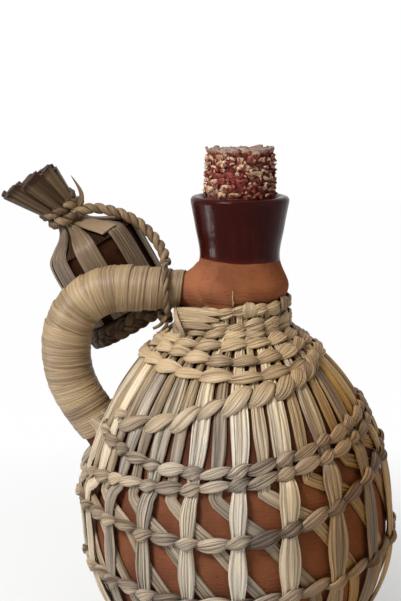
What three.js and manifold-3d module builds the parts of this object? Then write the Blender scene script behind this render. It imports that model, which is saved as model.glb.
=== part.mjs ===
// Wicker-wrapped clay carafe with a corn-cob stopper and a drinking cup tied to its handle.
// Millimetres, +Z up, origin at the centre of the foot; the handle points to -X.
import * as THREE from "three";
import { mergeVertices } from "three/addons/utils/BufferGeometryUtils.js";
import Module from "manifold-3d";

const GAP = 0.4;

// Clay body: egg-shaped belly, then radius and rise above the neck of the collar, waist, flare and lip
const FOOT_R = 42;
const FOOT_ROUND = 2;
const BELLY_R = 68.5;
const BELLY_Z = 51;
const SHOULDER_H = 95;
const NECK_R = 19.8;
const NECK_RISE = 8;
const NECK_BLEND = 5;
const COLLAR_START = 2.5;
const COLLAR_R = 22.4;
const COLLAR_RISE = 10;
const WAIST_R = 18;
const WAIST_RISE = 22;
const FLARE_R = 19.6;
const FLARE_RISE = 36;
const LIP_R = 22.3;
const LIP_RISE = 47.5;
const RIM_RISE = 50;
const RIM_ROUND = 1.2;
const WALL = 5;
const FLOOR = 6;
const BORE_R = 13.6;
const MOUTH_R = 17;
const BODY_SIDES = 32;
const LOWER_STEPS = 5;
const UPPER_STEPS = 12;
const MOUTH_STEPS = 10;
const CAVITY_STEPS = 7;

// Corn-cob stopper
const COB_R = 16.5;
const COB_RISE = 22;
const COB_TOP_ROUND = 1.8;
const PLUG_DEPTH = 22;
const SEAT_DROP = 2.5;
const COB_SIDES = 24;

// Clay handle and its winding
const HANDLE_DROP = 2.5;
const HANDLE_TOP_R = 7;
const HANDLE_R = 9.3;
const HANDLE_SWELL = 36;
const HANDLE_STRAIGHT = 30;
const HANDLE_OVERHANG = 11.1;
const BEND_DROP = 27.5;
const BEND_FULLNESS = 0.6;
const ROOT_FULLNESS = 0.42;
const ROOT_RISE = 39;
const ROOT_SLOPE = 1.02;
const ROOT_SINK = 3;
const HANDLE_SIDES = 12;
const HANDLE_STEPS = 20;
const WRAP_TURNS = 23;
const WRAP_STEPS = 12;
const WRAP_T = 1.4;
const WRAP_LIFT = 0.5;
const WRAP_SPACE = 0.95;
const WRAP_START = 5.5;
const WRAP_CLEAR = 2.3;

// Leaf stakes; near the root of the handle they stand aside, between these heights from the root
const STAKES = 20;
const STAKE_OFFSET = 0.25;
const STAKE_CROWDING = THREE.MathUtils.degToRad(4.5);
const LEAF_STEP = 0.5;
const LEAF_W = 7;
const CROSSED_W = 5;
const LEAF_T = 1.5;
const LEAF_SPACE = 0.6;
const ASIDE_ANGLE = THREE.MathUtils.degToRad(11);
const ASIDE_REACH = THREE.MathUtils.degToRad(25);
const ASIDE_BELOW = [-18, -8];
const ASIDE_ABOVE = [28, 50];
const STAKE_FOOT_Z = 4.5;
const STAKE_TOP_DROP = 0.6;
const STEP_RUN = 2.4;
const SLANT_STEPS = 3;

// Woven rows
const ROW_T = 2;
const ROW_SPACE = 0.6;
const ROW_CROWN = 0.7;
const ROW_SIDES = 32;
const LEAF_TOP = GAP + LEAF_T;
const UPRIGHT_LIFT = LEAF_TOP + GAP;
const ROW_LIFT = LEAF_TOP + ROW_SPACE;
const LATTICE_ROW_LIFT = UPRIGHT_LIFT + LEAF_T + ROW_SPACE;
// Height at the axis, rise towards +X, rise of both sides, dip at the handle and its spread in
// radians, height of the band, lift off the clay, and the angle left open each side of the handle
const NECK_Z = BELLY_Z + SHOULDER_H + NECK_RISE;
const NECK_DIP = 6;
const ROWS = {
  neck_border: {
    level: NECK_Z + 1, tilt: 1.8, sag: 0, dip: NECK_DIP, spread: 0.7,
    height: 4.4, lift: ROW_LIFT, opening: 0,
  },
  neck_band: {
    level: NECK_Z - 8.7, tilt: 2, sag: 0, dip: NECK_DIP, spread: 0.7,
    height: 10.4, lift: ROW_LIFT, opening: 0,
  },
  shoulder_band: {
    level: NECK_Z - 21.4, tilt: 2, sag: 0, dip: NECK_DIP, spread: 0.7,
    height: 9.4, lift: ROW_LIFT, opening: 0,
  },
  belly_row_upper: {
    level: BELLY_Z + 45.4, tilt: 10.3, sag: 3.1, dip: -13, spread: 0.75,
    height: 4.6, lift: ROW_LIFT, opening: 0.3,
  },
  belly_row_lower: {
    level: BELLY_Z + 40, tilt: 10.3, sag: 3.1, dip: 6, spread: 0.45,
    height: 4.6, lift: ROW_LIFT, opening: 0,
  },
  lattice_row_1: {
    level: BELLY_Z + 21.8, tilt: 8.9, sag: 8.4, dip: 6, spread: 0.6,
    height: 5.2, lift: LATTICE_ROW_LIFT, opening: 0,
  },
  lattice_row_2: {
    level: BELLY_Z - 9, tilt: 5, sag: 4, dip: 2, spread: 0.6,
    height: 5.2, lift: LATTICE_ROW_LIFT, opening: 0,
  },
  foot_row: {
    level: 10, tilt: 0, sag: 0, dip: 0, spread: 1,
    height: 5.2, lift: LATTICE_ROW_LIFT, opening: 0,
  },
};
// Loose weaver across the shoulder: [angle from the handle in degrees, share of the room between the
// upper belly row and the shoulder band]
const WEAVER_ROUTE = [[103, 0.96], [92, 0.85], [79, 0.73], [67.5, 0.59], [56, 0.47], [42, 0.36], [26, 0.25]];
const WEAVER_STEPS = 24;
const WEAVER_H = 4.6;

// Drinking cup in its leaf cover, hung mouth-down behind the handle
const CUP_R = 21.2;
const CUP_H = 44;
const CUP_WALL = 3.5;
const CUP_BASE = 4.5;
const CUP_BASE_ROUND = 3;
const CUP_LEAN = THREE.MathUtils.degToRad(-30);
const CUP_OUT = 49;
const CUP_BELOW = 21.2;
const CUP_SIDES = 24;
const STRAPS = 8;
const STRAP_T = 1.25;
const STRAP_SLOT = 0.16;
const STRAP_END_Z = 8.4;
const CONE_RISE = 11.5;
const STEM_R = 5;
const STEM_SHIFT = -3;
const STEM_FLARE_R = 14;
const STEM_LEAN = 0.3;
const BINDING_RISE = 17;
const STEM_LENGTH = 24;
const STEM_SIDES = 12;
const BRAID_T = 3;
const BRAID_H = 9;
const BRAID_DROP = 1.5;
const BRAID_STEPS = 5;

// Twisted cord: a loop knotted round the handle, a free stretch, and turns that bind the stem
const CORD_R = 2.3;
const CORD_SIDES = 8;
const CORD_STEPS = 16;
const BINDING_TURNS = 1.75;
const BINDING_PITCH = 5.3;
const BINDING_STEPS = 24;
const BINDING_SIDES = 6;
const BINDING_DROP = 1.5;
const TIE_R = 1.6;
const TIE_OUT = 34;
const TIE_PITCH = 4;
const TIE_STEPS = 24;
const TIE_SIDES = 6;
const KNOT_R = 3.6;
const KNOT_SIDES = 8;
const KNOT_RINGS = 6;
// Run of the free cord in the cup's own frame, from the loop on the handle to the binding
const CORD_ROUTE = [
  [28.8, -26.1, 20], [29.4, -24.6, 21.6], [29.8, -22.6, 23.8], [29.8, -20.2, 26.6],
  [29.4, -17.8, 29.8], [28.6, -15.6, 33.4], [27.4, -13.6, 37.2], [25.8, -12, 41],
  [23.6, -10.8, 44.8], [20.8, -9.9, 48.6], [17.6, -9.2, 52], [14.2, -8.6, 55],
  [10.8, -8.1, 57.4], [7.4, -7.8, 58.9], [4.4, -7.7, 59.4], [1.9, -7.7, 59.5],
];

const CLAY = { color: "#b5673f", roughness: 0.8 };
const CUP_GLAZE = { color: "#2c1710", roughness: 0.25 };
const RUSH = { color: "#c9b184", roughness: 0.75 };
const RUSH_SHADE = { color: "#b79d70", roughness: 0.75 };
const CORD = { color: "#9c835c", roughness: 0.85 };
const COB = { color: "#8c4136", roughness: 0.95 };

const wasm = await Module();
wasm.setup();

const EAST = new THREE.Vector3(1, 0, 0);
const ACROSS = new THREE.Vector3(0, 1, 0);
const UP = new THREE.Vector3(0, 0, 1);
const HANDLE_SIDE = Math.PI;
const PITCH = (2 * Math.PI) / STAKES;
const RIM_Z = NECK_Z + RIM_RISE;
const HANDLE_Z = NECK_Z + COLLAR_RISE - HANDLE_DROP;
const ROOT_Z = BELLY_Z + ROOT_RISE;
const BELLY_DROP = BELLY_Z / Math.sqrt(1 - (FOOT_R / BELLY_R) ** 2);

// Outer radius of the clay below the collar: an egg-shaped belly blended into the neck.
function clayRadius(z) {
  const half = z > BELLY_Z ? SHOULDER_H : BELLY_DROP;
  const egg = BELLY_R * Math.sqrt(Math.max(0, 1 - ((z - BELLY_Z) / half) ** 2));
  return (egg ** NECK_BLEND + NECK_R ** NECK_BLEND) ** (1 / NECK_BLEND);
}

// Point at an angle and height, lifted off the clay along its normal.
function surfacePoint(angle, z, lift) {
  const slope = clayRadius(z + GAP) - clayRadius(z - GAP);
  const normal = new THREE.Vector2(2 * GAP, -slope).normalize();
  const radius = clayRadius(z) + lift * normal.x;
  return new THREE.Vector3(radius * Math.cos(angle), radius * Math.sin(angle), z + lift * normal.y);
}

// Signed angle from the handle, -PI to PI.
function fromHandle(angle) {
  return Math.atan2(Math.sin(angle - HANDLE_SIDE), Math.cos(angle - HANDLE_SIDE));
}

// Height of a woven row, which is not level: it tilts, sags at front and back, and dips at the handle.
function rowHeight(row, angle) {
  const dip = row.dip * Math.exp(-((fromHandle(angle) / row.spread) ** 2));
  return row.level + row.tilt * Math.cos(angle) + row.sag * Math.cos(2 * angle) - dip;
}

function turnedOut(geometry) {
  const at = geometry.getAttribute("position");
  const index = geometry.getIndex().array;
  const corner = (i) => new THREE.Vector3().fromBufferAttribute(at, index[i]);
  let volume = 0;
  for (let i = 0; i < index.length; i += 3) {
    volume += corner(i).dot(corner(i + 1).cross(corner(i + 2)));
  }
  if (volume < 0) {
    index.reverse();
  }
  return geometry;
}

// Skin over a row of equal rings, with flat ends or closed into a hoop.
function loft(rings, hoop) {
  const sides = rings[0].length;
  const index = [];
  const spans = hoop ? rings.length : rings.length - 1;
  for (let i = 0; i < spans; i++) {
    const here = i * sides;
    const next = ((i + 1) % rings.length) * sides;
    for (let j = 0; j < sides; j++) {
      const k = (j + 1) % sides;
      index.push(here + j, here + k, next + k, here + j, next + k, next + j);
    }
  }
  if (!hoop) {
    const last = (rings.length - 1) * sides;
    for (let j = 1; j < sides - 1; j++) {
      index.push(0, j + 1, j, last, last + j, last + j + 1);
    }
  }
  return turnedOut(new THREE.BufferGeometry().setFromPoints(rings.flat()).setIndex(index));
}

function lathe(profile, sides) {
  const points = profile.map(([radius, z]) => new THREE.Vector2(radius, z));
  return new THREE.LatheGeometry(points, sides).rotateX(Math.PI / 2);
}

function solid(geometry) {
  const bare = geometry.clone();
  bare.deleteAttribute("normal");
  bare.deleteAttribute("uv");
  const merged = turnedOut(mergeVertices(bare, 1e-3));
  return new wasm.Manifold(new wasm.Mesh({
    numProp: 3,
    vertProperties: merged.getAttribute("position").array,
    triVerts: new Uint32Array(merged.getIndex().array),
  }));
}

function meshed(body) {
  const mesh = body.getMesh();
  return new THREE.BufferGeometry()
    .setAttribute("position", new THREE.BufferAttribute(mesh.vertProperties, 3))
    .setIndex(new THREE.BufferAttribute(mesh.triVerts, 1));
}

function ringAround(centre, across, up, radius, sides) {
  const ring = [];
  for (let j = 0; j < sides; j++) {
    const turn = (2 * Math.PI * j) / sides;
    ring.push(centre.clone()
      .addScaledVector(across, radius * Math.cos(turn))
      .addScaledVector(up, radius * Math.sin(turn)));
  }
  return ring;
}

// Least distance between neighbouring turns of a winding, on the points of its rings.
function leastGap(rings, stepsPerTurn) {
  let least = Infinity;
  for (let i = 0; i + stepsPerTurn < rings.length; i++) {
    for (const a of rings[i]) {
      for (const b of rings[i + stepsPerTurn]) {
        least = Math.min(least, a.distanceTo(b));
      }
    }
  }
  return least;
}

function piece(group, name, geometry, look) {
  const mesh = new THREE.Mesh(geometry, new THREE.MeshStandardMaterial(look));
  mesh.name = name;
  group.add(mesh);
}

const carafe = new THREE.Group();
const jug = new THREE.Group();
const stopper = new THREE.Group();
const hangingCup = new THREE.Group();
carafe.add(jug, stopper, hangingCup);

// Rings of the belly stand at even steps of the egg's own angle, so they crowd towards the neck.
const footTurn = Math.asin((FOOT_ROUND - BELLY_Z) / BELLY_DROP);
const ringHeights = [];
for (let i = LOWER_STEPS; i > 0; i--) {
  ringHeights.push(BELLY_Z + BELLY_DROP * Math.sin((footTurn * i) / LOWER_STEPS));
}
for (let i = 0; i <= UPPER_STEPS; i++) {
  ringHeights.push(BELLY_Z + SHOULDER_H * Math.sin((Math.PI * i) / (2 * UPPER_STEPS)));
}

// Clay body: one thrown wall, so the profile runs up the outside and back down the inside.
const mouthLine = new THREE.SplineCurve([
  new THREE.Vector2(NECK_R, NECK_Z + COLLAR_START),
  new THREE.Vector2(COLLAR_R, NECK_Z + COLLAR_RISE),
  new THREE.Vector2(WAIST_R, NECK_Z + WAIST_RISE),
  new THREE.Vector2(FLARE_R, NECK_Z + FLARE_RISE),
  new THREE.Vector2(LIP_R, NECK_Z + LIP_RISE),
]);
const outside = [
  ...ringHeights.map((z) => [clayRadius(z), z]),
  ...mouthLine.getPoints(MOUTH_STEPS).map((at) => [at.x, at.y]),
  [LIP_R - RIM_ROUND, RIM_Z],
];
const seatTop = RIM_Z - SEAT_DROP;
const seatFoot = seatTop - PLUG_DEPTH;
const inside = [
  [MOUTH_R + RIM_ROUND / 2, RIM_Z - RIM_ROUND / 2],
  [MOUTH_R, seatTop],
  [BORE_R, seatFoot],
];
const cavityTop = NECK_Z - NECK_RISE;
for (let i = 0; i <= CAVITY_STEPS; i++) {
  const z = THREE.MathUtils.lerp(cavityTop, FLOOR + WALL, i / CAVITY_STEPS);
  inside.push([Math.max(BORE_R, clayRadius(z) - WALL), z]);
}
inside.push([FOOT_R - WALL, FLOOR], [0, FLOOR]);
const bodyProfile = [[0, 0], [FOOT_R - FOOT_ROUND, 0], ...outside, ...inside];
piece(jug, "clay_body", lathe(bodyProfile, BODY_SIDES), CLAY);

// Corn-cob stopper: tapered plug in the mouth, rough cylinder above it.
const cobProfile = [
  [0, seatFoot + GAP],
  [BORE_R - GAP, seatFoot + GAP],
  [Math.min(COB_R, MOUTH_R - GAP), seatTop],
  [COB_R, RIM_Z],
  [COB_R, RIM_Z + COB_RISE - COB_TOP_ROUND],
  [COB_R - COB_TOP_ROUND, RIM_Z + COB_RISE],
  [0, RIM_Z + COB_RISE],
];
piece(stopper, "cob_stopper", lathe(cobProfile, COB_SIDES), COB);

// Handle line: straight out from the collar, round the bend and down into the shoulder.
const bendStart = new THREE.Vector3(-COLLAR_R - HANDLE_STRAIGHT, 0, HANDLE_Z);
const bendEnd = new THREE.Vector3(-BELLY_R - HANDLE_OVERHANG, 0, HANDLE_Z - BEND_DROP);
const rootEnd = new THREE.Vector3(ROOT_SINK - clayRadius(ROOT_Z), 0, ROOT_Z);
const rootAim = new THREE.Vector3(Math.cos(ROOT_SLOPE), 0, -Math.sin(ROOT_SLOPE));
const rootReach = bendEnd.distanceTo(rootEnd) * ROOT_FULLNESS;
const handlePath = new THREE.CurvePath();
handlePath.add(new THREE.LineCurve3(new THREE.Vector3(ROOT_SINK - COLLAR_R, 0, HANDLE_Z), bendStart));
handlePath.add(new THREE.CubicBezierCurve3(
  bendStart,
  new THREE.Vector3(THREE.MathUtils.lerp(bendStart.x, bendEnd.x, BEND_FULLNESS), 0, HANDLE_Z),
  new THREE.Vector3(bendEnd.x, 0, THREE.MathUtils.lerp(bendEnd.z, HANDLE_Z, BEND_FULLNESS)),
  bendEnd,
));
handlePath.add(new THREE.CubicBezierCurve3(
  bendEnd,
  bendEnd.clone().setZ(bendEnd.z - rootReach),
  rootEnd.clone().addScaledVector(rootAim, -rootReach),
  rootEnd,
));
const handleLine = new THREE.CatmullRomCurve3(handlePath.getSpacedPoints(HANDLE_STEPS));
const handleLength = handleLine.getLength();

function handleRadius(along) {
  return THREE.MathUtils.lerp(HANDLE_TOP_R, HANDLE_R, THREE.MathUtils.smoothstep(along, 0, HANDLE_SWELL));
}

function aroundHandle(along, turn, lift) {
  const share = THREE.MathUtils.clamp(along / handleLength, 0, 1);
  const outward = handleLine.getTangentAt(share).cross(ACROSS);
  const radius = handleRadius(along) + lift;
  return handleLine.getPointAt(share)
    .addScaledVector(outward, radius * Math.cos(turn))
    .addScaledVector(ACROSS, radius * Math.sin(turn));
}

const handleRings = [];
for (let i = 0; i <= HANDLE_STEPS; i++) {
  const ring = [];
  for (let j = 0; j < HANDLE_SIDES; j++) {
    ring.push(aroundHandle((handleLength * i) / HANDLE_STEPS, (2 * Math.PI * j) / HANDLE_SIDES, 0));
  }
  handleRings.push(ring);
}
const grownBody = solid(lathe([
  [0, -GAP],
  [FOOT_R + GAP, -GAP],
  ...outside.map(([radius, z]) => [radius + GAP, z]),
  [0, RIM_Z + GAP],
], BODY_SIDES));
const clayHandle = solid(loft(handleRings, false)).subtract(grownBody);
piece(jug, "clay_handle", meshed(clayHandle), CLAY);

// Handle winding: one flat leaf wound edge to edge from the collar to the root.
const wrappedR = HANDLE_R + WRAP_LIFT + WRAP_T;
const wrapEnd = handleLength - wrappedR - WRAP_CLEAR;
const wrapPitch = (wrapEnd - WRAP_START) / WRAP_TURNS;
const wrapHalf = (wrapPitch - WRAP_SPACE) / 2;
const wrapRings = [];
for (let i = 0; i <= WRAP_TURNS * WRAP_STEPS; i++) {
  const turn = (2 * Math.PI * i) / WRAP_STEPS;
  const along = WRAP_START + (wrapPitch * i) / WRAP_STEPS;
  wrapRings.push([
    aroundHandle(along - wrapHalf, turn, WRAP_LIFT),
    aroundHandle(along + wrapHalf, turn, WRAP_LIFT),
    aroundHandle(along + wrapHalf, turn, WRAP_LIFT + WRAP_T),
    aroundHandle(along - wrapHalf, turn, WRAP_LIFT + WRAP_T),
  ]);
}
piece(jug, "handle_wrap", loft(wrapRings, false), RUSH);

// Angle of a place in the weave, counted in stakes from the handle; the stakes crowd towards it.
function stakeAngle(place) {
  const turn = PITCH * place;
  return HANDLE_SIDE + turn - STAKE_CROWDING * Math.sin(turn);
}

// Leaves stand aside for the root of the handle; the spread fades out above and below it.
function aside(angle, z) {
  const off = fromHandle(angle);
  const below = THREE.MathUtils.smoothstep(z - ROOT_Z, ...ASIDE_BELOW);
  const above = 1 - THREE.MathUtils.smoothstep(z - ROOT_Z, ...ASIDE_ABOVE);
  const push = ASIDE_ANGLE * Math.exp(-Math.abs(off) / ASIDE_REACH) * below * above;
  return angle + Math.sign(off) * push;
}

// Angle from a leaf to the nearer of its neighbours on the same side of the handle.
function roomBeside(place, z) {
  const angle = stakeAngle(place);
  const side = Math.sign(fromHandle(angle));
  const near = [stakeAngle(place - LEAF_STEP), stakeAngle(place + LEAF_STEP)]
    .filter((next) => side === Math.sign(fromHandle(next)));
  return Math.min(...near.map((next) => Math.abs(aside(next, z) - aside(angle, z))));
}

// Flat leaf lying along the clay through [place, height, lift, greatest width] stations.
function leaf(stations) {
  const rings = stations.map(([place, z, lift, width]) => {
    const room = clayRadius(z) * roomBeside(place, z) - LEAF_SPACE;
    const half = Math.min(width, room) / 2 / clayRadius(z);
    const middle = aside(stakeAngle(place), z);
    return [
      surfacePoint(middle - half, z, lift),
      surfacePoint(middle + half, z, lift),
      surfacePoint(middle + half, z, lift + LEAF_T),
      surfacePoint(middle - half, z, lift + LEAF_T),
    ];
  });
  return loft(rings, false);
}

function heightAt(name, place) {
  return rowHeight(ROWS[name], stakeAngle(place));
}

// Stations of a leaf from one [place, height] to another: at the clay's own rings between them,
// and at even steps where the leaf slants round the belly.
function run([place, z], [toPlace, toZ], lift, width) {
  const heights = [...ringHeights];
  for (let i = 1; place !== toPlace && i < SLANT_STEPS; i++) {
    heights.push(THREE.MathUtils.lerp(z, toZ, i / SLANT_STEPS));
  }
  const between = heights.filter((at) => at > toZ + LEAF_T && at < z - LEAF_T).sort((a, b) => b - a);
  return [...between, toZ].map((at) => [
    THREE.MathUtils.mapLinear(at, z, toZ, place, toPlace), at, lift, width,
  ]);
}

const numbered = (name, i) => name + "_" + String(i + 1).padStart(2, "0");
const rowFoot = ROWS.belly_row_lower.height / 2 + GAP;

for (let i = 0; i < STAKES; i++) {
  // Upright leaf: under the neck and belly rows, then outside the crossed leaves.
  const upright = i + STAKE_OFFSET;
  const top = heightAt("neck_border", upright) - STAKE_TOP_DROP;
  const under = heightAt("belly_row_lower", upright) - rowFoot;
  const outer = under - STEP_RUN;
  const uprightLeaf = leaf([
    [upright, top, GAP, LEAF_W],
    ...run([upright, top], [upright, under], GAP, LEAF_W),
    [upright, outer, UPRIGHT_LIFT, LEAF_W],
    ...run([upright, outer], [upright, STAKE_FOOT_Z], UPRIGHT_LIFT, LEAF_W),
  ]);
  piece(jug, numbered("upright_stake", i), uprightLeaf, RUSH);

  // Crossed leaf: beside the uprights on the shoulder, then one place round in each lattice zone.
  const start = upright + LEAF_STEP;
  const crossedTop = heightAt("neck_border", start) - STAKE_TOP_DROP;
  const turns = [
    [start, crossedTop],
    [start, heightAt("belly_row_lower", start) - rowFoot - STEP_RUN],
    [start + 1, heightAt("lattice_row_1", start + 1)],
    [start + 2, heightAt("lattice_row_2", start + 2)],
    [start + 2 + LEAF_STEP, STAKE_FOOT_Z],
  ];
  const crossed = [[start, crossedTop, GAP, CROSSED_W]];
  for (let t = 1; t < turns.length; t++) {
    crossed.push(...run(turns[t - 1], turns[t], GAP, CROSSED_W));
  }
  piece(jug, numbered("crossed_stake", i), leaf(crossed), RUSH_SHADE);
}

// Band section of a woven row, standing off the clay.
function bandRing(angle, z, lift, height) {
  const half = height / 2;
  return [
    surfacePoint(angle, z - half, lift),
    surfacePoint(angle, z, lift),
    surfacePoint(angle, z + half, lift),
    surfacePoint(angle, z + half * ROW_CROWN, lift + ROW_T),
    surfacePoint(angle, z - half * ROW_CROWN, lift + ROW_T),
  ];
}

for (const [name, row] of Object.entries(ROWS)) {
  const whole = row.opening === 0;
  const rings = [];
  for (let j = 0; j < ROW_SIDES; j++) {
    const share = j / (whole ? ROW_SIDES : ROW_SIDES - 1);
    const angle = HANDLE_SIDE + THREE.MathUtils.lerp(row.opening, 2 * Math.PI - row.opening, share);
    rings.push(bandRing(angle, rowHeight(row, angle), row.lift, row.height));
  }
  piece(jug, name, loft(rings, whole), RUSH);
}

// Loose weaver: leaves the shoulder band at the front and runs down to the root of the handle.
function weaverRoom(row) {
  return (row.height + WEAVER_H) / 2 + ROW_SPACE;
}

const weaverLine = new THREE.SplineCurve(WEAVER_ROUTE.map(([degrees, share]) => (
  new THREE.Vector2(THREE.MathUtils.degToRad(degrees), share)
)));
const weaverRings = weaverLine.getPoints(WEAVER_STEPS).map((at) => {
  const angle = HANDLE_SIDE + at.x;
  const foot = rowHeight(ROWS.belly_row_upper, angle) + weaverRoom(ROWS.belly_row_upper);
  const head = rowHeight(ROWS.shoulder_band, angle) - weaverRoom(ROWS.shoulder_band);
  return bandRing(angle, THREE.MathUtils.lerp(foot, head, at.y), ROW_LIFT, WEAVER_H);
});
piece(jug, "shoulder_weaver", loft(weaverRings, false), RUSH);

// Cup, mouth down: its own +Z points up the stem.
const strapInner = CUP_R + GAP;
const strapOuter = strapInner + STRAP_T;
hangingCup.position.set(-CUP_OUT, wrappedR + GAP + strapOuter, HANDLE_Z - CUP_BELOW);
hangingCup.rotation.y = CUP_LEAN;
hangingCup.updateMatrix();
const cupProfile = [
  [0, CUP_H - CUP_BASE],
  [CUP_R - CUP_WALL - CUP_BASE_ROUND, CUP_H - CUP_BASE],
  [CUP_R - CUP_WALL, CUP_H - CUP_BASE - CUP_BASE_ROUND],
  [CUP_R - CUP_WALL, 0],
  [CUP_R, 0],
  [CUP_R, CUP_H - CUP_BASE_ROUND],
  [CUP_R - CUP_BASE_ROUND, CUP_H],
  [0, CUP_H],
];
piece(hangingCup, "glazed_cup", lathe(cupProfile, CUP_SIDES), CUP_GLAZE);

// Leaf cover: straps down the wall, one of them against the handle, gathered over the base into a
// stem that is cut off square.
const coneZ = CUP_H + CONE_RISE;
const cageProfile = [
  [0, CUP_H + GAP],
  [CUP_R - CUP_BASE_ROUND + GAP / 2, CUP_H + GAP],
  [strapInner, CUP_H - CUP_BASE_ROUND + GAP / 2],
  [strapInner, STRAP_END_Z],
  [strapOuter, STRAP_END_Z],
  [strapOuter, CUP_H - CUP_BASE_ROUND + GAP],
  [CUP_R - CUP_BASE_ROUND + GAP, CUP_H + STRAP_T + GAP],
  [STEM_R, coneZ],
  [0, coneZ],
];
const slotReach = 2 * CUP_R;
const slotShape = new THREE.Shape([
  new THREE.Vector2(STEM_R, 0),
  new THREE.Vector2(slotReach, -slotReach * STRAP_SLOT),
  new THREE.Vector2(slotReach, slotReach * STRAP_SLOT),
]);
let cover = solid(lathe(cageProfile, CUP_SIDES));
for (let i = 0; i < STRAPS; i++) {
  const slot = new THREE.ExtrudeGeometry(slotShape, { depth: coneZ, bevelEnabled: false })
    .rotateZ((2 * Math.PI * (i + 0.5)) / STRAPS - Math.PI / 2);
  cover = cover.subtract(solid(slot));
}
const bindingZ = CUP_H + BINDING_RISE;
const coilFoot = bindingZ - BINDING_DROP;
const coilTop = coilFoot + BINDING_TURNS * BINDING_PITCH;

function stemShift(z) {
  return STEM_SHIFT - STEM_LEAN * Math.max(0, z - bindingZ);
}

const stemRings = [
  [CUP_H + STRAP_T + GAP, STEM_R + STRAP_T],
  [coneZ, STEM_R],
  [bindingZ, STEM_R],
  [coilTop + CORD_R, STEM_R],
  [bindingZ + STEM_LENGTH, STEM_FLARE_R],
].map(([z, radius]) => (
  ringAround(new THREE.Vector3(stemShift(z), 0, z), EAST, ACROSS, radius, STEM_SIDES)
));
cover = cover.add(solid(loft(stemRings, false)));
piece(hangingCup, "cup_cover", meshed(cover), RUSH_SHADE);

// Plaited rim: half-round outside, flat against the cup.
const braidProfile = [];
for (let i = 0; i <= BRAID_STEPS; i++) {
  const turn = Math.PI * (i / BRAID_STEPS - 0.5);
  braidProfile.push([
    strapInner + BRAID_T * Math.cos(turn), BRAID_H / 2 - BRAID_DROP + (BRAID_H / 2) * Math.sin(turn),
  ]);
}
braidProfile.push(braidProfile[0]);
piece(hangingCup, "cup_rim_braid", lathe(braidProfile, CUP_SIDES), RUSH_SHADE);

// Binding: the cord comes in straight at the front, winds up round the stem and ends straight.
const coilR = STEM_R + GAP + CORD_R;
const leadIn = new THREE.Vector3(STEM_SHIFT + 2 * CORD_R, -coilR, coilFoot);
const coilRings = [ringAround(leadIn, ACROSS.clone().negate(), UP, CORD_R, BINDING_SIDES)];
for (let i = 0; i <= BINDING_TURNS * BINDING_STEPS; i++) {
  const turn = -Math.PI / 2 - (2 * Math.PI * i) / BINDING_STEPS;
  const z = coilFoot + (BINDING_PITCH * i) / BINDING_STEPS;
  const outward = new THREE.Vector3(Math.cos(turn), Math.sin(turn), 0);
  const centre = new THREE.Vector3(stemShift(z), 0, z).addScaledVector(outward, coilR);
  coilRings.push(ringAround(centre, outward, UP, CORD_R, BINDING_SIDES));
}
const tail = new THREE.Vector3(0, -2 * CORD_R, 0);
coilRings.push(coilRings.at(-1).map((at) => at.clone().add(tail)));
piece(hangingCup, "stem_binding", loft(coilRings, false), CORD);

// Free cord from the loop on the handle over the cup's shoulder to the binding.
const cordLine = new THREE.CatmullRomCurve3(CORD_ROUTE.map((at) => new THREE.Vector3(...at)));
const cordSection = new THREE.Shape().absarc(0, 0, CORD_R, 0, 2 * Math.PI);
const freeCord = new THREE.ExtrudeGeometry(cordSection, {
  steps: CORD_STEPS, curveSegments: CORD_SIDES / 2, extrudePath: cordLine,
});
piece(hangingCup, "cup_cord", freeCord, CORD);

// Loop: one slanting turn round the winding, its ends knotted under the handle, free to turn.
const tieLoopR = handleRadius(TIE_OUT - COLLAR_R + ROOT_SINK) + WRAP_LIFT + WRAP_T + GAP + TIE_R;
const tieRings = [];
for (let i = 0; i <= TIE_STEPS; i++) {
  const turn = (2 * Math.PI * i) / TIE_STEPS - Math.PI / 2;
  const outward = new THREE.Vector3(0, Math.cos(turn), Math.sin(turn));
  const centre = new THREE.Vector3(TIE_PITCH * (i / TIE_STEPS - 0.5) - TIE_OUT, 0, HANDLE_Z)
    .addScaledVector(outward, tieLoopR);
  tieRings.push(ringAround(centre, outward, EAST, TIE_R, TIE_SIDES));
}
const knot = new THREE.SphereGeometry(KNOT_R, KNOT_SIDES, KNOT_RINGS)
  .translate(-TIE_OUT, 0, HANDLE_Z - tieLoopR - KNOT_R + TIE_R);
const tie = solid(loft(tieRings, false)).add(solid(knot));
const tieGeometry = meshed(tie).applyMatrix4(hangingCup.matrix.clone().invert());
piece(hangingCup, "handle_tie", tieGeometry, CORD);

console.log("least gap between turns of handle_wrap", leastGap(wrapRings, WRAP_STEPS).toFixed(2), "mm");
console.log("least gap between turns of stem_binding", leastGap(coilRings, BINDING_STEPS).toFixed(2), "mm");

export default carafe;
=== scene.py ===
from bisect import bisect_left
from math import atan2, copysign, cos, exp, floor, hypot, pi, radians, sin, tau
from random import Random

import bmesh
import bpy
from mathutils import Matrix, Vector
from mathutils.geometry import interpolate_bezier
from mathutils.noise import noise, noise_vector, seed_set


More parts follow.
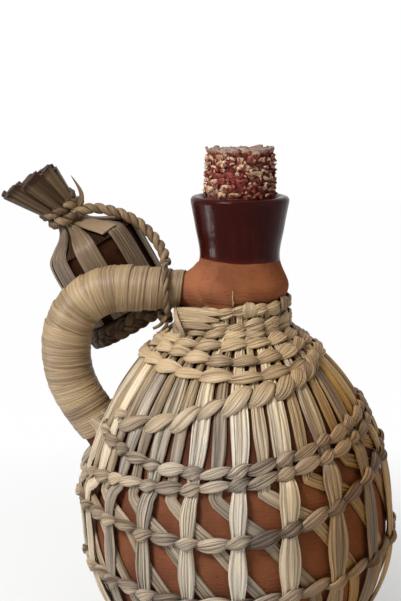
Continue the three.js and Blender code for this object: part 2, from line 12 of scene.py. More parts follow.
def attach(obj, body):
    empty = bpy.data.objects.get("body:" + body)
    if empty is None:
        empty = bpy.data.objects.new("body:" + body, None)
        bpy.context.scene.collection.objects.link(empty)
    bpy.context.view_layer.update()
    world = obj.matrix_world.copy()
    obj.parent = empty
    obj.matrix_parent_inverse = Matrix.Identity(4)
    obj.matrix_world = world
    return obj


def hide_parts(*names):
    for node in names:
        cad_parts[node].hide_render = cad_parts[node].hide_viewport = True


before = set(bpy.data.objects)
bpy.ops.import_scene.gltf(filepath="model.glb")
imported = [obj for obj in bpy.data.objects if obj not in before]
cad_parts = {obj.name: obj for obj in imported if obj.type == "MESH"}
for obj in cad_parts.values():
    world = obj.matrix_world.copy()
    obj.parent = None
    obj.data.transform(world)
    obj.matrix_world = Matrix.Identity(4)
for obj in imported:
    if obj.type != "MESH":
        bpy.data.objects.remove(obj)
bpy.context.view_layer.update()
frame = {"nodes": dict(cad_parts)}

# The carafe stands on a white table in soft window light from the front left, with a soft shadow
# round its foot. The camera looks at it from the front and a little above, close enough to cut off
# the foot. A small card lamp, low on the left, is seen only in the gloss of the mouth.
scene = bpy.context.scene
scene.view_settings.view_transform = "Standard"
lens = bpy.data.cameras.new("table_view")
lens.lens, lens.sensor_width = 86.5, 36
camera = bpy.data.objects.new("table_view", lens)
camera.location = (0, -0.65, 0.267)
camera.rotation_euler = (radians(80.31), 0, radians(1.567))
scene.collection.objects.link(camera)
scene.camera = camera


def add_node(tree, kind, inputs=(), **settings):
    """Adds a shader node; inputs maps its sockets to values or to the sockets that feed them."""
    node = tree.nodes.new("ShaderNode" + kind)
    for name, value in settings.items():
        setattr(node, name, value)
    for name, value in dict(inputs).items():
        if isinstance(value, bpy.types.NodeSocket):
            tree.links.new(value, node.inputs[name])
        else:
            node.inputs[name].default_value = value
    return node


def combine(operation, a, b):
    """Adds a Math node for a and b, at least one of them a socket."""
    socket = a if isinstance(a, bpy.types.NodeSocket) else b
    return add_node(socket.id_data, "Math", {0: a, 1: b}, operation=operation).outputs[0]


def times(a, b):
    return combine("MULTIPLY", a, b)


def spread(value, low, high, to_low=0.0, to_high=1.0):
    """Maps a value from one range to another, held at both ends."""
    inputs = {0: value, 1: low, 2: high, 3: to_low, 4: to_high}
    return add_node(value.id_data, "MapRange", inputs).outputs[0]


def seen_directly(tree):
    """1 on rays that show the background itself: to the camera, in gloss and through glass."""
    rays = add_node(tree, "LightPath").outputs
    seen = combine("MAXIMUM", rays["Is Camera Ray"], rays["Is Glossy Ray"])
    return combine("MAXIMUM", seen, rays["Is Transmission Ray"])


def empty_tree(owner):
    owner.use_nodes = True
    owner.node_tree.nodes.clear()
    return owner.node_tree


ROOM_LIGHT, ROOM_TINT, WHITE = 0.2, (1, 0.99, 0.97, 1), (1, 1, 1, 1)
world = bpy.data.worlds.new("room")
tree = empty_tree(world)
room = add_node(tree, "Background", {"Color": ROOM_TINT, "Strength": ROOM_LIGHT})
backdrop = add_node(tree, "Background", {"Color": WHITE, "Strength": 1.0})
share = seen_directly(tree)
both = add_node(tree, "MixShader", {0: share, 1: room.outputs[0], 2: backdrop.outputs[0]})
add_node(tree, "OutputWorld", {"Surface": both.outputs[0]})
scene.world = world

TABLE_HALF, TABLE_TINT, TABLE_FAR = 2.0, (0.9, 0.9, 0.89, 1), 0.985
SHADOW_NEAR, SHADOW_FAR, SHADOW_DEPTH = 0.10, 0.34, 0.55
table_white = bpy.data.materials.new("table_white")
tree = empty_tree(table_white)
matt = add_node(tree, "BsdfDiffuse", {"Color": TABLE_TINT})
glow = add_node(tree, "Emission", {"Color": WHITE, "Strength": 1.0})
where = add_node(tree, "TexCoord").outputs["Object"]
away = add_node(tree, "VectorMath", {0: where}, operation="LENGTH").outputs["Value"]
bright = spread(away, SHADOW_NEAR, SHADOW_FAR, 1 - SHADOW_DEPTH, TABLE_FAR)
share = times(seen_directly(tree), bright)
both = add_node(tree, "MixShader", {0: share, 1: matt.outputs[0], 2: glow.outputs[0]})
add_node(tree, "OutputMaterial", {"Surface": both.outputs[0]})


def place_mesh(bm, name, finish, crease=None):
    """Puts a finished mesh in the scene; edges bent by more than the crease stay sharp."""
    mesh = bpy.data.meshes.new(name)
    bm.to_mesh(mesh)
    bm.free()
    if crease:
        mesh.set_sharp_from_angle(angle=radians(crease))
    mesh.materials.append(finish)
    piece = bpy.data.objects.new(name, mesh)
    scene.collection.objects.link(piece)
    return piece


bm = bmesh.new()
bmesh.ops.create_grid(bm, x_segments=1, y_segments=1, size=TABLE_HALF)
table_top = place_mesh(bm, "table_top", table_white)

AIM = Vector((0, 0, 0.12))


def hang(name, place, watts, width, height):
    """Adds a flat lamp that faces the carafe."""
    lamp = bpy.data.lights.new(name, "AREA")
    lamp.shape, lamp.size, lamp.size_y, lamp.energy = "RECTANGLE", width, height, watts
    stand = bpy.data.objects.new(name, lamp)
    stand.location = place
    stand.rotation_euler = (AIM - stand.location).to_track_quat("-Z", "Y").to_euler()
    scene.collection.objects.link(stand)
    return stand


hang("window", (-0.56, -0.60, 0.88), 13.0, 0.34, 0.34)
hang("sky", (-0.10, 0.15, 1.25), 2.5, 0.8, 0.8)
hang("wall", (0.95, -0.55, 0.30), 1.1, 0.8, 0.8)
card = hang("card", (-0.46, -0.064, 0.045), 0.6, 0.12, 0.08)
card.visible_diffuse = card.visible_camera = False


# Body of the carafe: one thrown wall of red earthenware with an egg-shaped belly, a collar and a
# flared mouth. The mouth was dipped in a dark glaze, which ends in an uneven line above the collar.
BELLY_R, BELLY_Z, SHOULDER_H, FOOT_R, NECK_R = 68.5, 51, 95, 42, 19.8
BELLY_DROP = BELLY_Z / (1 - (FOOT_R / BELLY_R) ** 2) ** 0.5
NECK_BLEND = 5
WALL, FLOOR, BORE_R, SEAT_FOOT, SEAT_TOP, MOUTH_R = 5, 6, 13.6, 179.5, 201.5, 17
MOUTH_LINE = [(19.8, 156.5), (22.4, 164), (18.2, 176), (20.2, 190), (22.3, 201.5)]
LIP = [(22.25, 202.7), (21.6, 203.6), (20.6, 204), (19.2, 203.95), (18, 203.5), (17.3, 202.6)]
SPIN_STEPS, CLAY_CREASE = 112, 50


def clay_radius(z):
    half = SHOULDER_H if z > BELLY_Z else BELLY_DROP
    egg = BELLY_R * max(0, 1 - ((z - BELLY_Z) / half) ** 2) ** 0.5
    return (egg ** NECK_BLEND + NECK_R ** NECK_BLEND) ** (1 / NECK_BLEND)


def smooth_line(points, steps):
    """Points of a smooth curve through the given ones."""
    last = len(points) - 1
    line = []
    for i in range(steps + 1):
        k = min(int(last * i / steps), last - 1)
        t = last * i / steps - k
        a, b, c, d = (Vector(points[min(max(j, 0), last)]) for j in range(k - 1, k + 3))
        bend, sway = 2 * a - 5 * b + 4 * c - d, 3 * b - a - 3 * c + d
        line.append(0.5 * (2 * b + t * (c - a) + t * t * bend + t ** 3 * sway))
    return line


def spun(bm, profile, steps=SPIN_STEPS):
    """Turns a profile of radius and height round the Z axis into a closed skin."""
    verts = [bm.verts.new((radius, 0, z)) for radius, z in profile]
    edges = [bm.edges.new(pair) for pair in zip(verts, verts[1:])]
    bmesh.ops.spin(bm, geom=verts + edges, axis=(0, 0, 1), angle=tau, steps=steps, use_merge=True)
    bmesh.ops.remove_doubles(bm, verts=bm.verts, dist=1e-4)
    bmesh.ops.recalc_face_normals(bm, faces=bm.faces)


def set_down(bm, name, finish, body, slot, *nodes, at=None, crease=None):
    """Makes a finished piece in metres from a mesh in millimetres, riding on its body."""
    if at:
        bmesh.ops.transform(bm, matrix=at, verts=bm.verts)
    bmesh.ops.recalc_face_normals(bm, faces=bm.faces)
    bmesh.ops.scale(bm, vec=(0.001, 0.001, 0.001), verts=bm.verts)
    for face in bm.faces:
        face.smooth = True
    piece = place_mesh(bm, name, finish, crease)
    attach(piece, body)
    if nodes:
        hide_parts(*nodes)
    return piece


def paint(code):
    """Colour of a paint chip, #rrggbb, as the shaders take it."""
    parts = [int(code[i:i + 2], 16) / 255 for i in (1, 3, 5)]
    return (*(c / 12.92 if c <= 0.04045 else ((c + 0.055) / 1.055) ** 2.4 for c in parts), 1)


def new_finish(name, specular):
    finish = bpy.data.materials.new(name)
    finish.use_nodes = True
    shader = finish.node_tree.nodes["Principled BSDF"]
    shader.inputs["Specular IOR Level"].default_value = specular
    return finish, finish.node_tree, shader


def feed(shader, **sockets):
    for name, socket in sockets.items():
        shader.id_data.links.new(socket, shader.inputs[name.replace("_", " ")])


def plus(a, b):
    return combine("ADD", a, b)


def minus(a, b):
    return combine("SUBTRACT", a, b)


def mixed(share, a, b):
    """Colour a, or b as far as the share goes."""
    return add_node(share.id_data, "Mix", {0: share, 6: a, 7: b}, data_type="RGBA").outputs[2]


def grainy(where, scale, detail=2.0, roughness=0.55):
    inputs = {"Vector": where, "Scale": scale, "Detail": detail, "Roughness": roughness}
    return add_node(where.id_data, "TexNoise", inputs).outputs[0]


def bumped(height, strength, distance):
    inputs = {"Strength": strength, "Distance": distance, "Height": height}
    return add_node(height.id_data, "Bump", inputs).outputs["Normal"]


CLAY_DEEP, CLAY, CLAY_PALE, CLAY_SHADED_WARM = map(paint, ("#70422c", "#945c3e", "#b08263", "#8c4a1d"))
PIT_AND_SHADE, GLAZE, GLAZE_THIN = map(paint, ("#40231a", "#2e0502", "#4a150c"))
GLAZE_FOOT, GLAZE_EDGE, THIN_FOOT, THIN_TOP = 0.1762, 0.1766, 0.1763, 0.1790
GLAZE_LEAN, GLAZE_WAVE = 0.045, 0.0016
SHADED_FOOT, SHADED_TOP, SHADED_LEFT = (0.085, 0.100), (0.150, 0.135), (-0.046, -0.034)
DIM_BELLY, SHADED_WARM_RIGHT = (0.110, 0.090), (-0.01, 0.045)
terracotta, tree, shader = new_finish("terracotta", 0.08)
where = add_node(tree, "TexCoord").outputs["Object"]
axes = add_node(tree, "SeparateXYZ", {0: where}).outputs
mottle, specks = grainy(where, 70, 5), grainy(where, 900, 2)
cells = add_node(tree, "TexVoronoi", {"Vector": where, "Scale": 420}).outputs["Distance"]
pits = times(spread(cells, 0.16, 0.08), spread(grainy(where, 160), 0.5, 0.6))
rings = add_node(
    tree, "TexWave", bands_direction="Z",
    inputs={"Vector": where, "Scale": 190, "Distortion": 6.0, "Detail": 3, "Detail Scale": 0.6},
).outputs["Fac"]
bare = mixed(spread(mottle, 0.32, 0.68), CLAY_DEEP, CLAY)
bare = mixed(spread(specks, 0.66, 0.80, 0, 0.6), bare, CLAY_PALE)
# Painted shade: towards the right, away from the window, the clay is painted darker and more orange.
bare = mixed(spread(axes["X"], *SHADED_WARM_RIGHT, 0, 0.75), bare, CLAY_SHADED_WARM)
bare = mixed(times(rings, 0.07), bare, CLAY_DEEP)
bare = mixed(pits, bare, PIT_AND_SHADE)
# Painted shade: the clay under the close weave of the shoulder is darkened towards the pit colour, less
# so on the handle side.
shaded = times(spread(axes["Z"], *SHADED_TOP), spread(axes["Z"], *SHADED_FOOT))
shaded = times(shaded, spread(axes["X"], *SHADED_LEFT, 0.25, 0.86))
bare = mixed(shaded, bare, PIT_AND_SHADE)
# The bare clay is also darker towards the bottom, below the belly rows.
bare = mixed(spread(axes["Z"], *DIM_BELLY, 0, 0.36), bare, PIT_AND_SHADE)
height = plus(axes["Z"], times(axes["X"], GLAZE_LEAN))
height = plus(height, times(grainy(where, 60), GLAZE_WAVE))
dipped = spread(height, GLAZE_FOOT, GLAZE_EDGE)
runs = grainy(add_node(tree, "Mapping", {0: where, "Scale": (260, 260, 30)}).outputs[0], 1.0, 3)
glazed = mixed(spread(height, THIN_FOOT, THIN_TOP, 0.55, 0), GLAZE, GLAZE_THIN)
glazed = mixed(spread(runs, 0.5, 0.75, 0, 0.3), glazed, GLAZE_THIN)
rough = add_node(tree, "Mix", {0: dipped, 2: 0.82, 3: spread(runs, 0.3, 0.7, 0.14, 0.30)}).outputs[0]
fine = minus(plus(times(rings, 0.3), specks), pits)
waves = plus(times(runs, 0.9), times(grainy(where, 420, 2), 0.5))
relief = add_node(tree, "Mix", {0: dipped, 2: fine, 3: plus(waves, 2.0)}).outputs[0]
colour = mixed(dipped, bare, glazed)
feed(shader, Base_Color=colour, Roughness=rough, Normal=bumped(relief, 0.5, 0.00035))

belly_wall = [(clay_radius(z), z) for z in range(2, 154, 2)]
mouth_wall = [tuple(at) for at in smooth_line(MOUTH_LINE, 40)]
cavity = [(max(BORE_R, clay_radius(z) - WALL), z) for z in range(146, 10, -4)]
bm = bmesh.new()
spun(bm, [
    (0, 0), (FOOT_R - 2, 0), (FOOT_R - 0.6, 0.6), *belly_wall, *mouth_wall, *LIP,
    (MOUTH_R, SEAT_TOP), (BORE_R, SEAT_FOOT), *cavity, (FOOT_R - WALL, FLOOR), (0, FLOOR),
])
set_down(bm, "clay_wall", terracotta, "jug", "terracotta", "clay_body", crease=CLAY_CREASE)


# Handle of the carafe: a round rod of the same clay, pulled and joined on while soft. It leaves the
# collar level, bends over and runs down into the shoulder; only its two ends show.
HANDLE_Z, HANDLE_TOP_R, HANDLE_R, HANDLE_SWELL = 161.5, 7, 9.3, 36
HANDLE_START, BEND_START = Vector((-19.4, 0, HANDLE_Z)), Vector((-52.4, 0, HANDLE_Z))
BEND_END, ROOT_Z, ROOT_SINK = Vector((-79.6, 0, 134)), 90, 3
BEND_FULLNESS, ROOT_FULLNESS, ROOT_SLOPE = 0.6, 0.42, 1.02
JOINT_FLARE, JOINT_REACH, JOINT_DEPTH = 6.4, 9, 4.5
ROD_STEPS, BEND_STEPS = 12, 40
ROOT = Vector((ROOT_SINK - clay_radius(ROOT_Z), 0, ROOT_Z))
BEND_CORNER = Vector((BEND_END.x, 0, HANDLE_Z))
ACROSS, UP = Vector((0, 1, 0)), Vector((0, 0, 1))
root_reach = (BEND_END - ROOT).length * ROOT_FULLNESS
root_aim = Vector((cos(ROOT_SLOPE), 0, -sin(ROOT_SLOPE)))
handle_points = [HANDLE_START.lerp(BEND_START, i / ROD_STEPS) for i in range(ROD_STEPS)]
handle_points += interpolate_bezier(
    BEND_START, BEND_START.lerp(BEND_CORNER, BEND_FULLNESS),
    BEND_END.lerp(BEND_CORNER, BEND_FULLNESS), BEND_END, BEND_STEPS,
)[:-1]
handle_points += interpolate_bezier(
    BEND_END, BEND_END - root_reach * UP, ROOT - root_reach * root_aim, ROOT, BEND_STEPS,
)
handle_run = [0.0]
for a, b in zip(handle_points, handle_points[1:]):
    handle_run.append(handle_run[-1] + (b - a).length)
HANDLE_LENGTH = handle_run[-1]


def ease(value, low, high):
    t = min(max((value - low) / (high - low), 0), 1)
    return t * t * (3 - 2 * t)


def on_handle(along, turn, lift):
    """Point and outward direction on the handle; turn 0 is the outer side of the bend."""
    k = min(max(bisect_left(handle_run, along), 1), len(handle_run) - 1)
    a, b = handle_points[k - 1], handle_points[k]
    centre = a.lerp(b, (along - handle_run[k - 1]) / (handle_run[k] - handle_run[k - 1]))
    before, after = handle_points[max(k - 3, 0)], handle_points[min(k + 2, len(handle_points) - 1)]
    outward = (after - before).normalized().cross(ACROSS) * cos(turn) + ACROSS * sin(turn)
    radius = HANDLE_TOP_R + (HANDLE_R - HANDLE_TOP_R) * ease(along, 0, HANDLE_SWELL)
    radius += JOINT_FLARE * (1 - min(max((along + 1) / JOINT_REACH, 0), 1)) ** 2
    return centre + outward * (radius + lift), outward


def fresh_mesh():
    bm = bmesh.new()
    bm.loops.layers.uv.new("leaf")
    bm.verts.layers.float.new("tone")
    return bm


def skin(bm, steps, around, place, length, girth, tone, shift=0.0):
    """Adds a closed tube: place(i, j) gives the point of step i and side j, both counted from 0."""
    uv, shade = bm.loops.layers.uv["leaf"], bm.verts.layers.float["tone"]
    verts = bmesh.ops.create_grid(bm, x_segments=steps, y_segments=around, size=0.5)["verts"]
    for face in {face for vert in verts for face in vert.link_faces}:
        for loop in face.loops:
            flat = loop.vert.co
            loop[uv].uv = ((flat.x + 0.5) * length + 3 * shift, (flat.y + 0.5) * girth + shift)
    for vert in verts:
        i, j = round((vert.co.x + 0.5) * steps), round((vert.co.y + 0.5) * around)
        vert[shade] = tone(i)
        vert.co = place(i, j % around)
    bmesh.ops.remove_doubles(bm, verts=verts, dist=1e-4)
    open_ends = [edge for edge in bm.edges if edge.is_boundary]
    if open_ends:
        bmesh.ops.edgeloop_fill(bm, edges=open_ends)


HANDLE_STEPS, HANDLE_SIDES = 60, 28
rod_length = HANDLE_LENGTH + JOINT_DEPTH
bm = fresh_mesh()
skin(
    bm, HANDLE_STEPS, HANDLE_SIDES,
    lambda i, j: on_handle(rod_length * i / HANDLE_STEPS - JOINT_DEPTH, tau * j / HANDLE_SIDES, 0)[0],
    rod_length, tau * HANDLE_R, lambda i: 0.5,
)
set_down(bm, "clay_rod", terracotta, "jug", "terracotta", "clay_handle", crease=CLAY_CREASE)


# Stopper: a length of dry corn cob, its grains gone, pushed into the mouth. Rings of red husk with
# cream lips stand round a pithy core, and the sawn top is ragged and grey.
COB_R, COB_TOP, COB_FOOT_Z, COB_FOOT_R, COB_SEAT_R, RIM_Z = 13.8, 225, 179.9, 13.0, 16, 204
COB_SWELL, COB_TAPER, COB_SIDES, CRUMBLE, CRUMBLE_SEED = 1.085, 0.06, 96, 0.55, 5
RAGGED_FROM, CUT_FROM = RIM_Z - 1, COB_TOP - 0.5
HUSK_RINGS, HUSKS, HUSK_FOOT, HUSK_RISE = 7, 18, RIM_Z - 1.6, 3.2
HUSK_STEPS, HUSK_SIDES, HUSK_TALL, HUSK_HALF = 4, 6, (2.8, 5.0), (1.5, 3.3)
CHIPS, CHIP_LONG, CHIP_HALF = 200, (1.0, 2.8), (0.5, 1.1)
MAROON, ROSE, CREAM, GOLD, SAWN = map(paint, ("#641f18", "#a45448", "#d6b597", "#b28a63", "#988a7e"))
HOLLOW_SHADE, CORE_SHADE = paint("#351410"), paint("#2b0d09")
corn_cob, tree, shader = new_finish("corn_cob", 0.2)
where = add_node(tree, "TexCoord").outputs["Object"]
axes = add_node(tree, "SeparateXYZ", {0: where}).outputs
tone = add_node(tree, "Attribute", attribute_name="tone").outputs["Fac"]
grain, blotch = grainy(where, 480, 4, 0.7), grainy(where, 230, 2)
scraps, drift = grainy(where, 400, 3, 0.6), grainy(where, 90, 1)
husk = mixed(spread(grain, 0.35, 0.65), MAROON, ROSE)
lips = plus(tone, times(minus(scraps, 0.5), 2.6))
lips = plus(lips, times(minus(0.56, drift), 2.0))
husk = mixed(spread(lips, 0.44, 0.86), husk, mixed(spread(blotch, 0.5, 0.6), CREAM, GOLD))
sawn = times(spread(axes["Z"], 0.2235, 0.2248), spread(grain, 0.3, 0.5))
husk = mixed(sawn, husk, mixed(spread(blotch, 0.52, 0.75), SAWN, ROSE))
# Dark spots at random stand for hollows between the husks: partly dark pith, partly painted shade.
husk = mixed(spread(grainy(where, 800, 2), 0.42, 0.34, 0, 0.6), husk, HOLLOW_SHADE)
# Painted shade: where the tone is low, on the core between the husks and a little on plain husks, the
# cob is darkened as the shade deep between them.
husk = mixed(spread(tone, 0.12, -0.1), husk, CORE_SHADE)
feed(shader, Base_Color=husk, Normal=bumped(grain, 1.0, 0.0008))
shader.inputs["Roughness"].default_value = 0.85

bm = fresh_mesh()
sawn_face = [(COB_R * (1 - i / 8), COB_TOP) for i in range(9)]
core_wall = [(COB_R, z) for z in range(RIM_Z, COB_TOP)]
plug = [(0, COB_FOOT_Z), (COB_FOOT_R, COB_FOOT_Z), (COB_SEAT_R, SEAT_TOP), *core_wall, *sawn_face]
spun(bm, plug, COB_SIDES)
shade = bm.verts.layers.float["tone"]
for vert in bm.verts:
    cut = vert.co.z > CUT_FROM
    vert[shade] = 0.3 if cut else 0.0
    rugged = noise(vert.co * 0.4) + 0.6 * noise(vert.co * 1.3)
    if cut:
        vert.co.z += rugged
    elif vert.co.z > RAGGED_FROM:
        vert.co.xy *= 1 + 0.035 * rugged
rng = Random("husks")
for ring in range(HUSK_RINGS):
    for k in range(HUSKS):
        facing = tau * (k + 0.5 * (ring % 2) + rng.uniform(-0.22, 0.22)) / HUSKS
        foot = HUSK_FOOT + HUSK_RISE * ring + rng.uniform(-0.8, 0.8)
        tall, wide = rng.uniform(*HUSK_TALL), rng.uniform(*HUSK_HALF)
        curl, ragged = rng.uniform(0.0, 0.9), rng.uniform(0.35, 0.95)
        pale, lean = rng.choice([0.0, 0.3, 0.5, 0.65, 0.85]), rng.uniform(-1.6, 1.6)
        tall = min(tall, COB_TOP + 0.9 - foot)

        def husk_skin(i, j):
            along = i / HUSK_STEPS
            side = [-1, -0.5, 0.5, 1, 0.5, -0.5][j]
            back = 1.2 if j > 3 else 0
            half = wide * (0.6 + 0.8 * along - 0.8 * along ** 3 * ragged)
            out = COB_R - 0.2 + 1.5 * along ** 0.7 + curl * along ** 2 - 0.7 * side * side - back
            turn = facing + half * side / COB_R
            rise = foot + tall * along * (1 - 0.16 * side * side * ragged) + 0.4 * lean * side
            return Vector((out * cos(turn), out * sin(turn), rise))

        skin(
            bm, HUSK_STEPS, HUSK_SIDES, husk_skin, tall, 2 * wide,
            lambda i: 0.05 + pale * min(1, 1.5 * i / HUSK_STEPS) ** 2,
        )
for k in range(CHIPS):
    facing, height = rng.uniform(0, tau), rng.uniform(RIM_Z + 0.5, COB_TOP - 2.5)
    outward = Vector((cos(facing), sin(facing), 0))
    lie = rng.uniform(0, tau)
    aim = (UP * cos(lie) + UP.cross(outward) * sin(lie) + 0.5 * outward).normalized()
    across = aim.cross(outward).normalized() * rng.uniform(*CHIP_HALF)
    foot = outward * (COB_R + rng.uniform(0.6, 1.3)) + UP * height
    long, pale = rng.uniform(*CHIP_LONG), rng.choice([0.2, 0.5, 0.7, 0.9])

    def chip(i, j):
        edge = [across, across.cross(aim) * 0.4, -across, across.cross(aim) * -0.4][j]
        return foot + aim * long * (i / 2 - 0.3) + edge * (1 - 0.6 * (i / 2) ** 2)

    skin(bm, 2, 4, chip, long, 2, lambda i: pale)
seed_set(CRUMBLE_SEED)
for vert in bm.verts:
    if vert.co.z > RAGGED_FROM:
        vert.co += CRUMBLE * noise_vector(vert.co * 0.9)
        vert.co.xy *= COB_SWELL - COB_TAPER * (vert.co.z - RIM_Z) / (COB_TOP - RIM_Z)
set_down(bm, "cob_plug", corn_cob, "stopper", "corn_cob", "cob_stopper")


# Upright leaves: twenty dry bulrush leaves, flat and ribbed, laid down the clay from neck to foot.
# The neck and belly rows hold them down; in the lattice below they lie over the crossed leaves.
STAKES, STAKE_OFFSET, CROWDING = 20, 0.25, radians(4.5)
UPRIGHT_W, LEAF_T, LEAF_GAP, LEAF_CREASE = 7.4, 1.5, 0.3, 38
INNER_LIFT, OUTER_LIFT, UPRIGHT_STEPS = 0.7, 2.6, 72
ASIDE, ASIDE_REACH = radians(11), radians(25)
BULGE, BULGE_REACH, BULGE_FOOT, BULGE_TOP = 3.6, 0.75, (48, 76), (138, 152)
BROAD_AT, BROAD_REACH = tau - radians(52), 0.5
STAKE_FOOT_Z, STAKE_TUCK, STEP_DROP, STEP_RUN = 4.5, 0.6, 2.7, 2.4
# Each row: its level, tilt to the right, rise at both sides, dip at the handle and reach of the dip.
ROWS = {
    "neck_border": (155, 1.8, 0, 6, 0.7), "neck_band": (145.3, 2, 0, 1, 0.7),
    "shoulder_band": (134.6, 1.2, 2, 2, 0.7), "belly_row_upper": (96.4, 10.3, 3.1, -13, 0.75),
    "belly_row_lower": (91, 10.3, 3.1, 6, 0.45), "lattice_row_1": (72.8, 8.9, 8.4, 6, 0.6),
    "lattice_row_2": (42, 5, 4, 2, 0.6), "foot_row": (10, 0, 0, 0, 1),
}
SHOULDER_HOLDS = ["belly_row_upper", "shoulder_band"]
LATTICE_HOLDS = ["belly_row_lower", "lattice_row_1", "lattice_row_2", "foot_row"]


def from_handle(angle):
    return atan2(sin(angle - pi), cos(angle - pi))


def row_height(name, angle):
    level, tilt, rise, dip, reach = ROWS[name]
    dip *= exp(-((from_handle(angle) / reach) ** 2))
    return level + tilt * cos(angle) + rise * cos(2 * angle) - dip


def stake_angle(place):
    turn = tau / STAKES * place
    return pi + turn - CROWDING * sin(turn)


def aside(angle, z):
    """Leaves stand aside for the root of the handle."""
    off = from_handle(angle)
    near = ease(z - ROOT_Z, -18, -8) * (1 - ease(z - ROOT_Z, 28, 50))
    return angle + copysign(ASIDE * exp(-abs(off) / ASIDE_REACH) * near, off)


def wander(angle, z, sway, reach):
    """Angle of a leaf that stands aside for the handle and strays a little on its way down."""
    return aside(angle, z) + reach * noise((z * 0.045, sway, 0)) / clay_radius(z)


def room_beside(z):
    """Width for each leaf where uprights and crossed leaves lie side by side."""
    return clay_radius(z) * tau / STAKES * 0.5 - LEAF_GAP


def broader(angle, gain):
    """Leaves on the right of the front are broader."""
    return 1 + gain * exp(-((angle - BROAD_AT) / BROAD_REACH) ** 2)


def clay_normal(angle, z):
    slope = (clay_radius(z + 0.4) - clay_radius(z - 0.4)) / 0.8
    return Vector((cos(angle), sin(angle), -slope)).normalized()


def on_clay(angle, z, lift):
    """Point on the weave; it stands off the clay where it passes the handle."""
    radius = clay_radius(z)
    bulge = BULGE * exp(-((from_handle(angle) / BULGE_REACH) ** 2))
    lift += bulge * ease(z, *BULGE_FOOT) * (1 - ease(z, *BULGE_TOP))
    return Vector((radius * cos(angle), radius * sin(angle), z)) + lift * clay_normal(angle, z)


CLIMB_STEP, CLIMB_TOP = 0.5, 160
climb_heights = [i * CLIMB_STEP for i in range(round(CLIMB_TOP / CLIMB_STEP))]
climb_run = [0.0]
for a, b in zip(climb_heights, climb_heights[1:]):
    climb_run.append(climb_run[-1] + hypot(b - a, clay_radius(b) - clay_radius(a)))


def climb(low, high, steps):
    """Heights at even steps up the wall of the clay."""
    start, end = (climb_run[round(z / CLIMB_STEP)] for z in (low, high))
    runs = [start + (end - start) * i / steps for i in range(steps + 1)]
    inner = [climb_heights[min(bisect_left(climb_run, run), len(climb_run) - 1)] for run in runs[1:-1]]
    return [low, *inner, high]


def leaf(bm, stations, thick, tones, ridges=0.0, groove=0.0, under=0.25, edge=3.0, top=20, bottom=4,
         hoop=False, shift=0.0):
    """Adds one closed leaf along stations of (point, outward direction, width, share of thickness).

    under is the depth of its back, edge its squareness, top and bottom the strips of its faces.
    """
    points = [station[0] for station in stations]
    count = len(points)
    frames, length = [], 0.0
    for i, (point, outward, width, *depth) in enumerate(stations):
        before, after = points[(i - 1) % count], points[(i + 1) % count]
        if not hoop:
            before, after = points[max(i - 1, 0)], points[min(i + 1, count - 1)]
        ahead = (after - before).normalized()
        across = ahead.cross(outward).normalized()
        upward = across.cross(ahead) * (depth[0] if depth else 1)
        frames.append((point, across * (width / 2), upward, width))
        length += (points[(i + 1) % count] - point).length if hoop or i + 1 < count else 0
    sides = [(-1 + 2 * j / top, 1) for j in range(top + 1)]
    sides += [(1 - 2 * j / bottom, -under) for j in range(1, bottom)]

    def place(i, j):
        point, half, lift, width = frames[i % count]
        side, face = sides[j]
        rise = thick * face * (1 - abs(side) ** edge) ** (1 / edge)
        if face > 0 and ridges:
            fold = noise((0.6 * ridges * side + 5 * shift, 0.03 * (i % count), shift))
            rise -= groove * max(0, 1 - 3 * abs(fold)) * (1 - side ** 8)
        return point + half * side + lift * rise

    girth = 2 * sum(frame[3] for frame in frames) / count
    tone = tones if callable(tones) else (lambda i: tones)
    skin(bm, count if hoop else count - 1, len(sides), place, length, girth, tone, shift)


SLIT, FLECK = paint("#4a3520"), paint("#5f3d20")
BLEACH_SHEEN_Z, BLEACH_SHEEN_RIGHT, BLEACH_SHEEN_LEFT = (0.130, 0.102), (0.048, 0.005), (-0.062, -0.025)
RIPE_SHADE_RIGHT, RIPE_HUE, RIPE_SHADE_DEPTH, FADE_SHEEN, FADE_SHADE_DEPTH = (0.005, 0.05), 0.016, 0.43, 0.46, 0.21


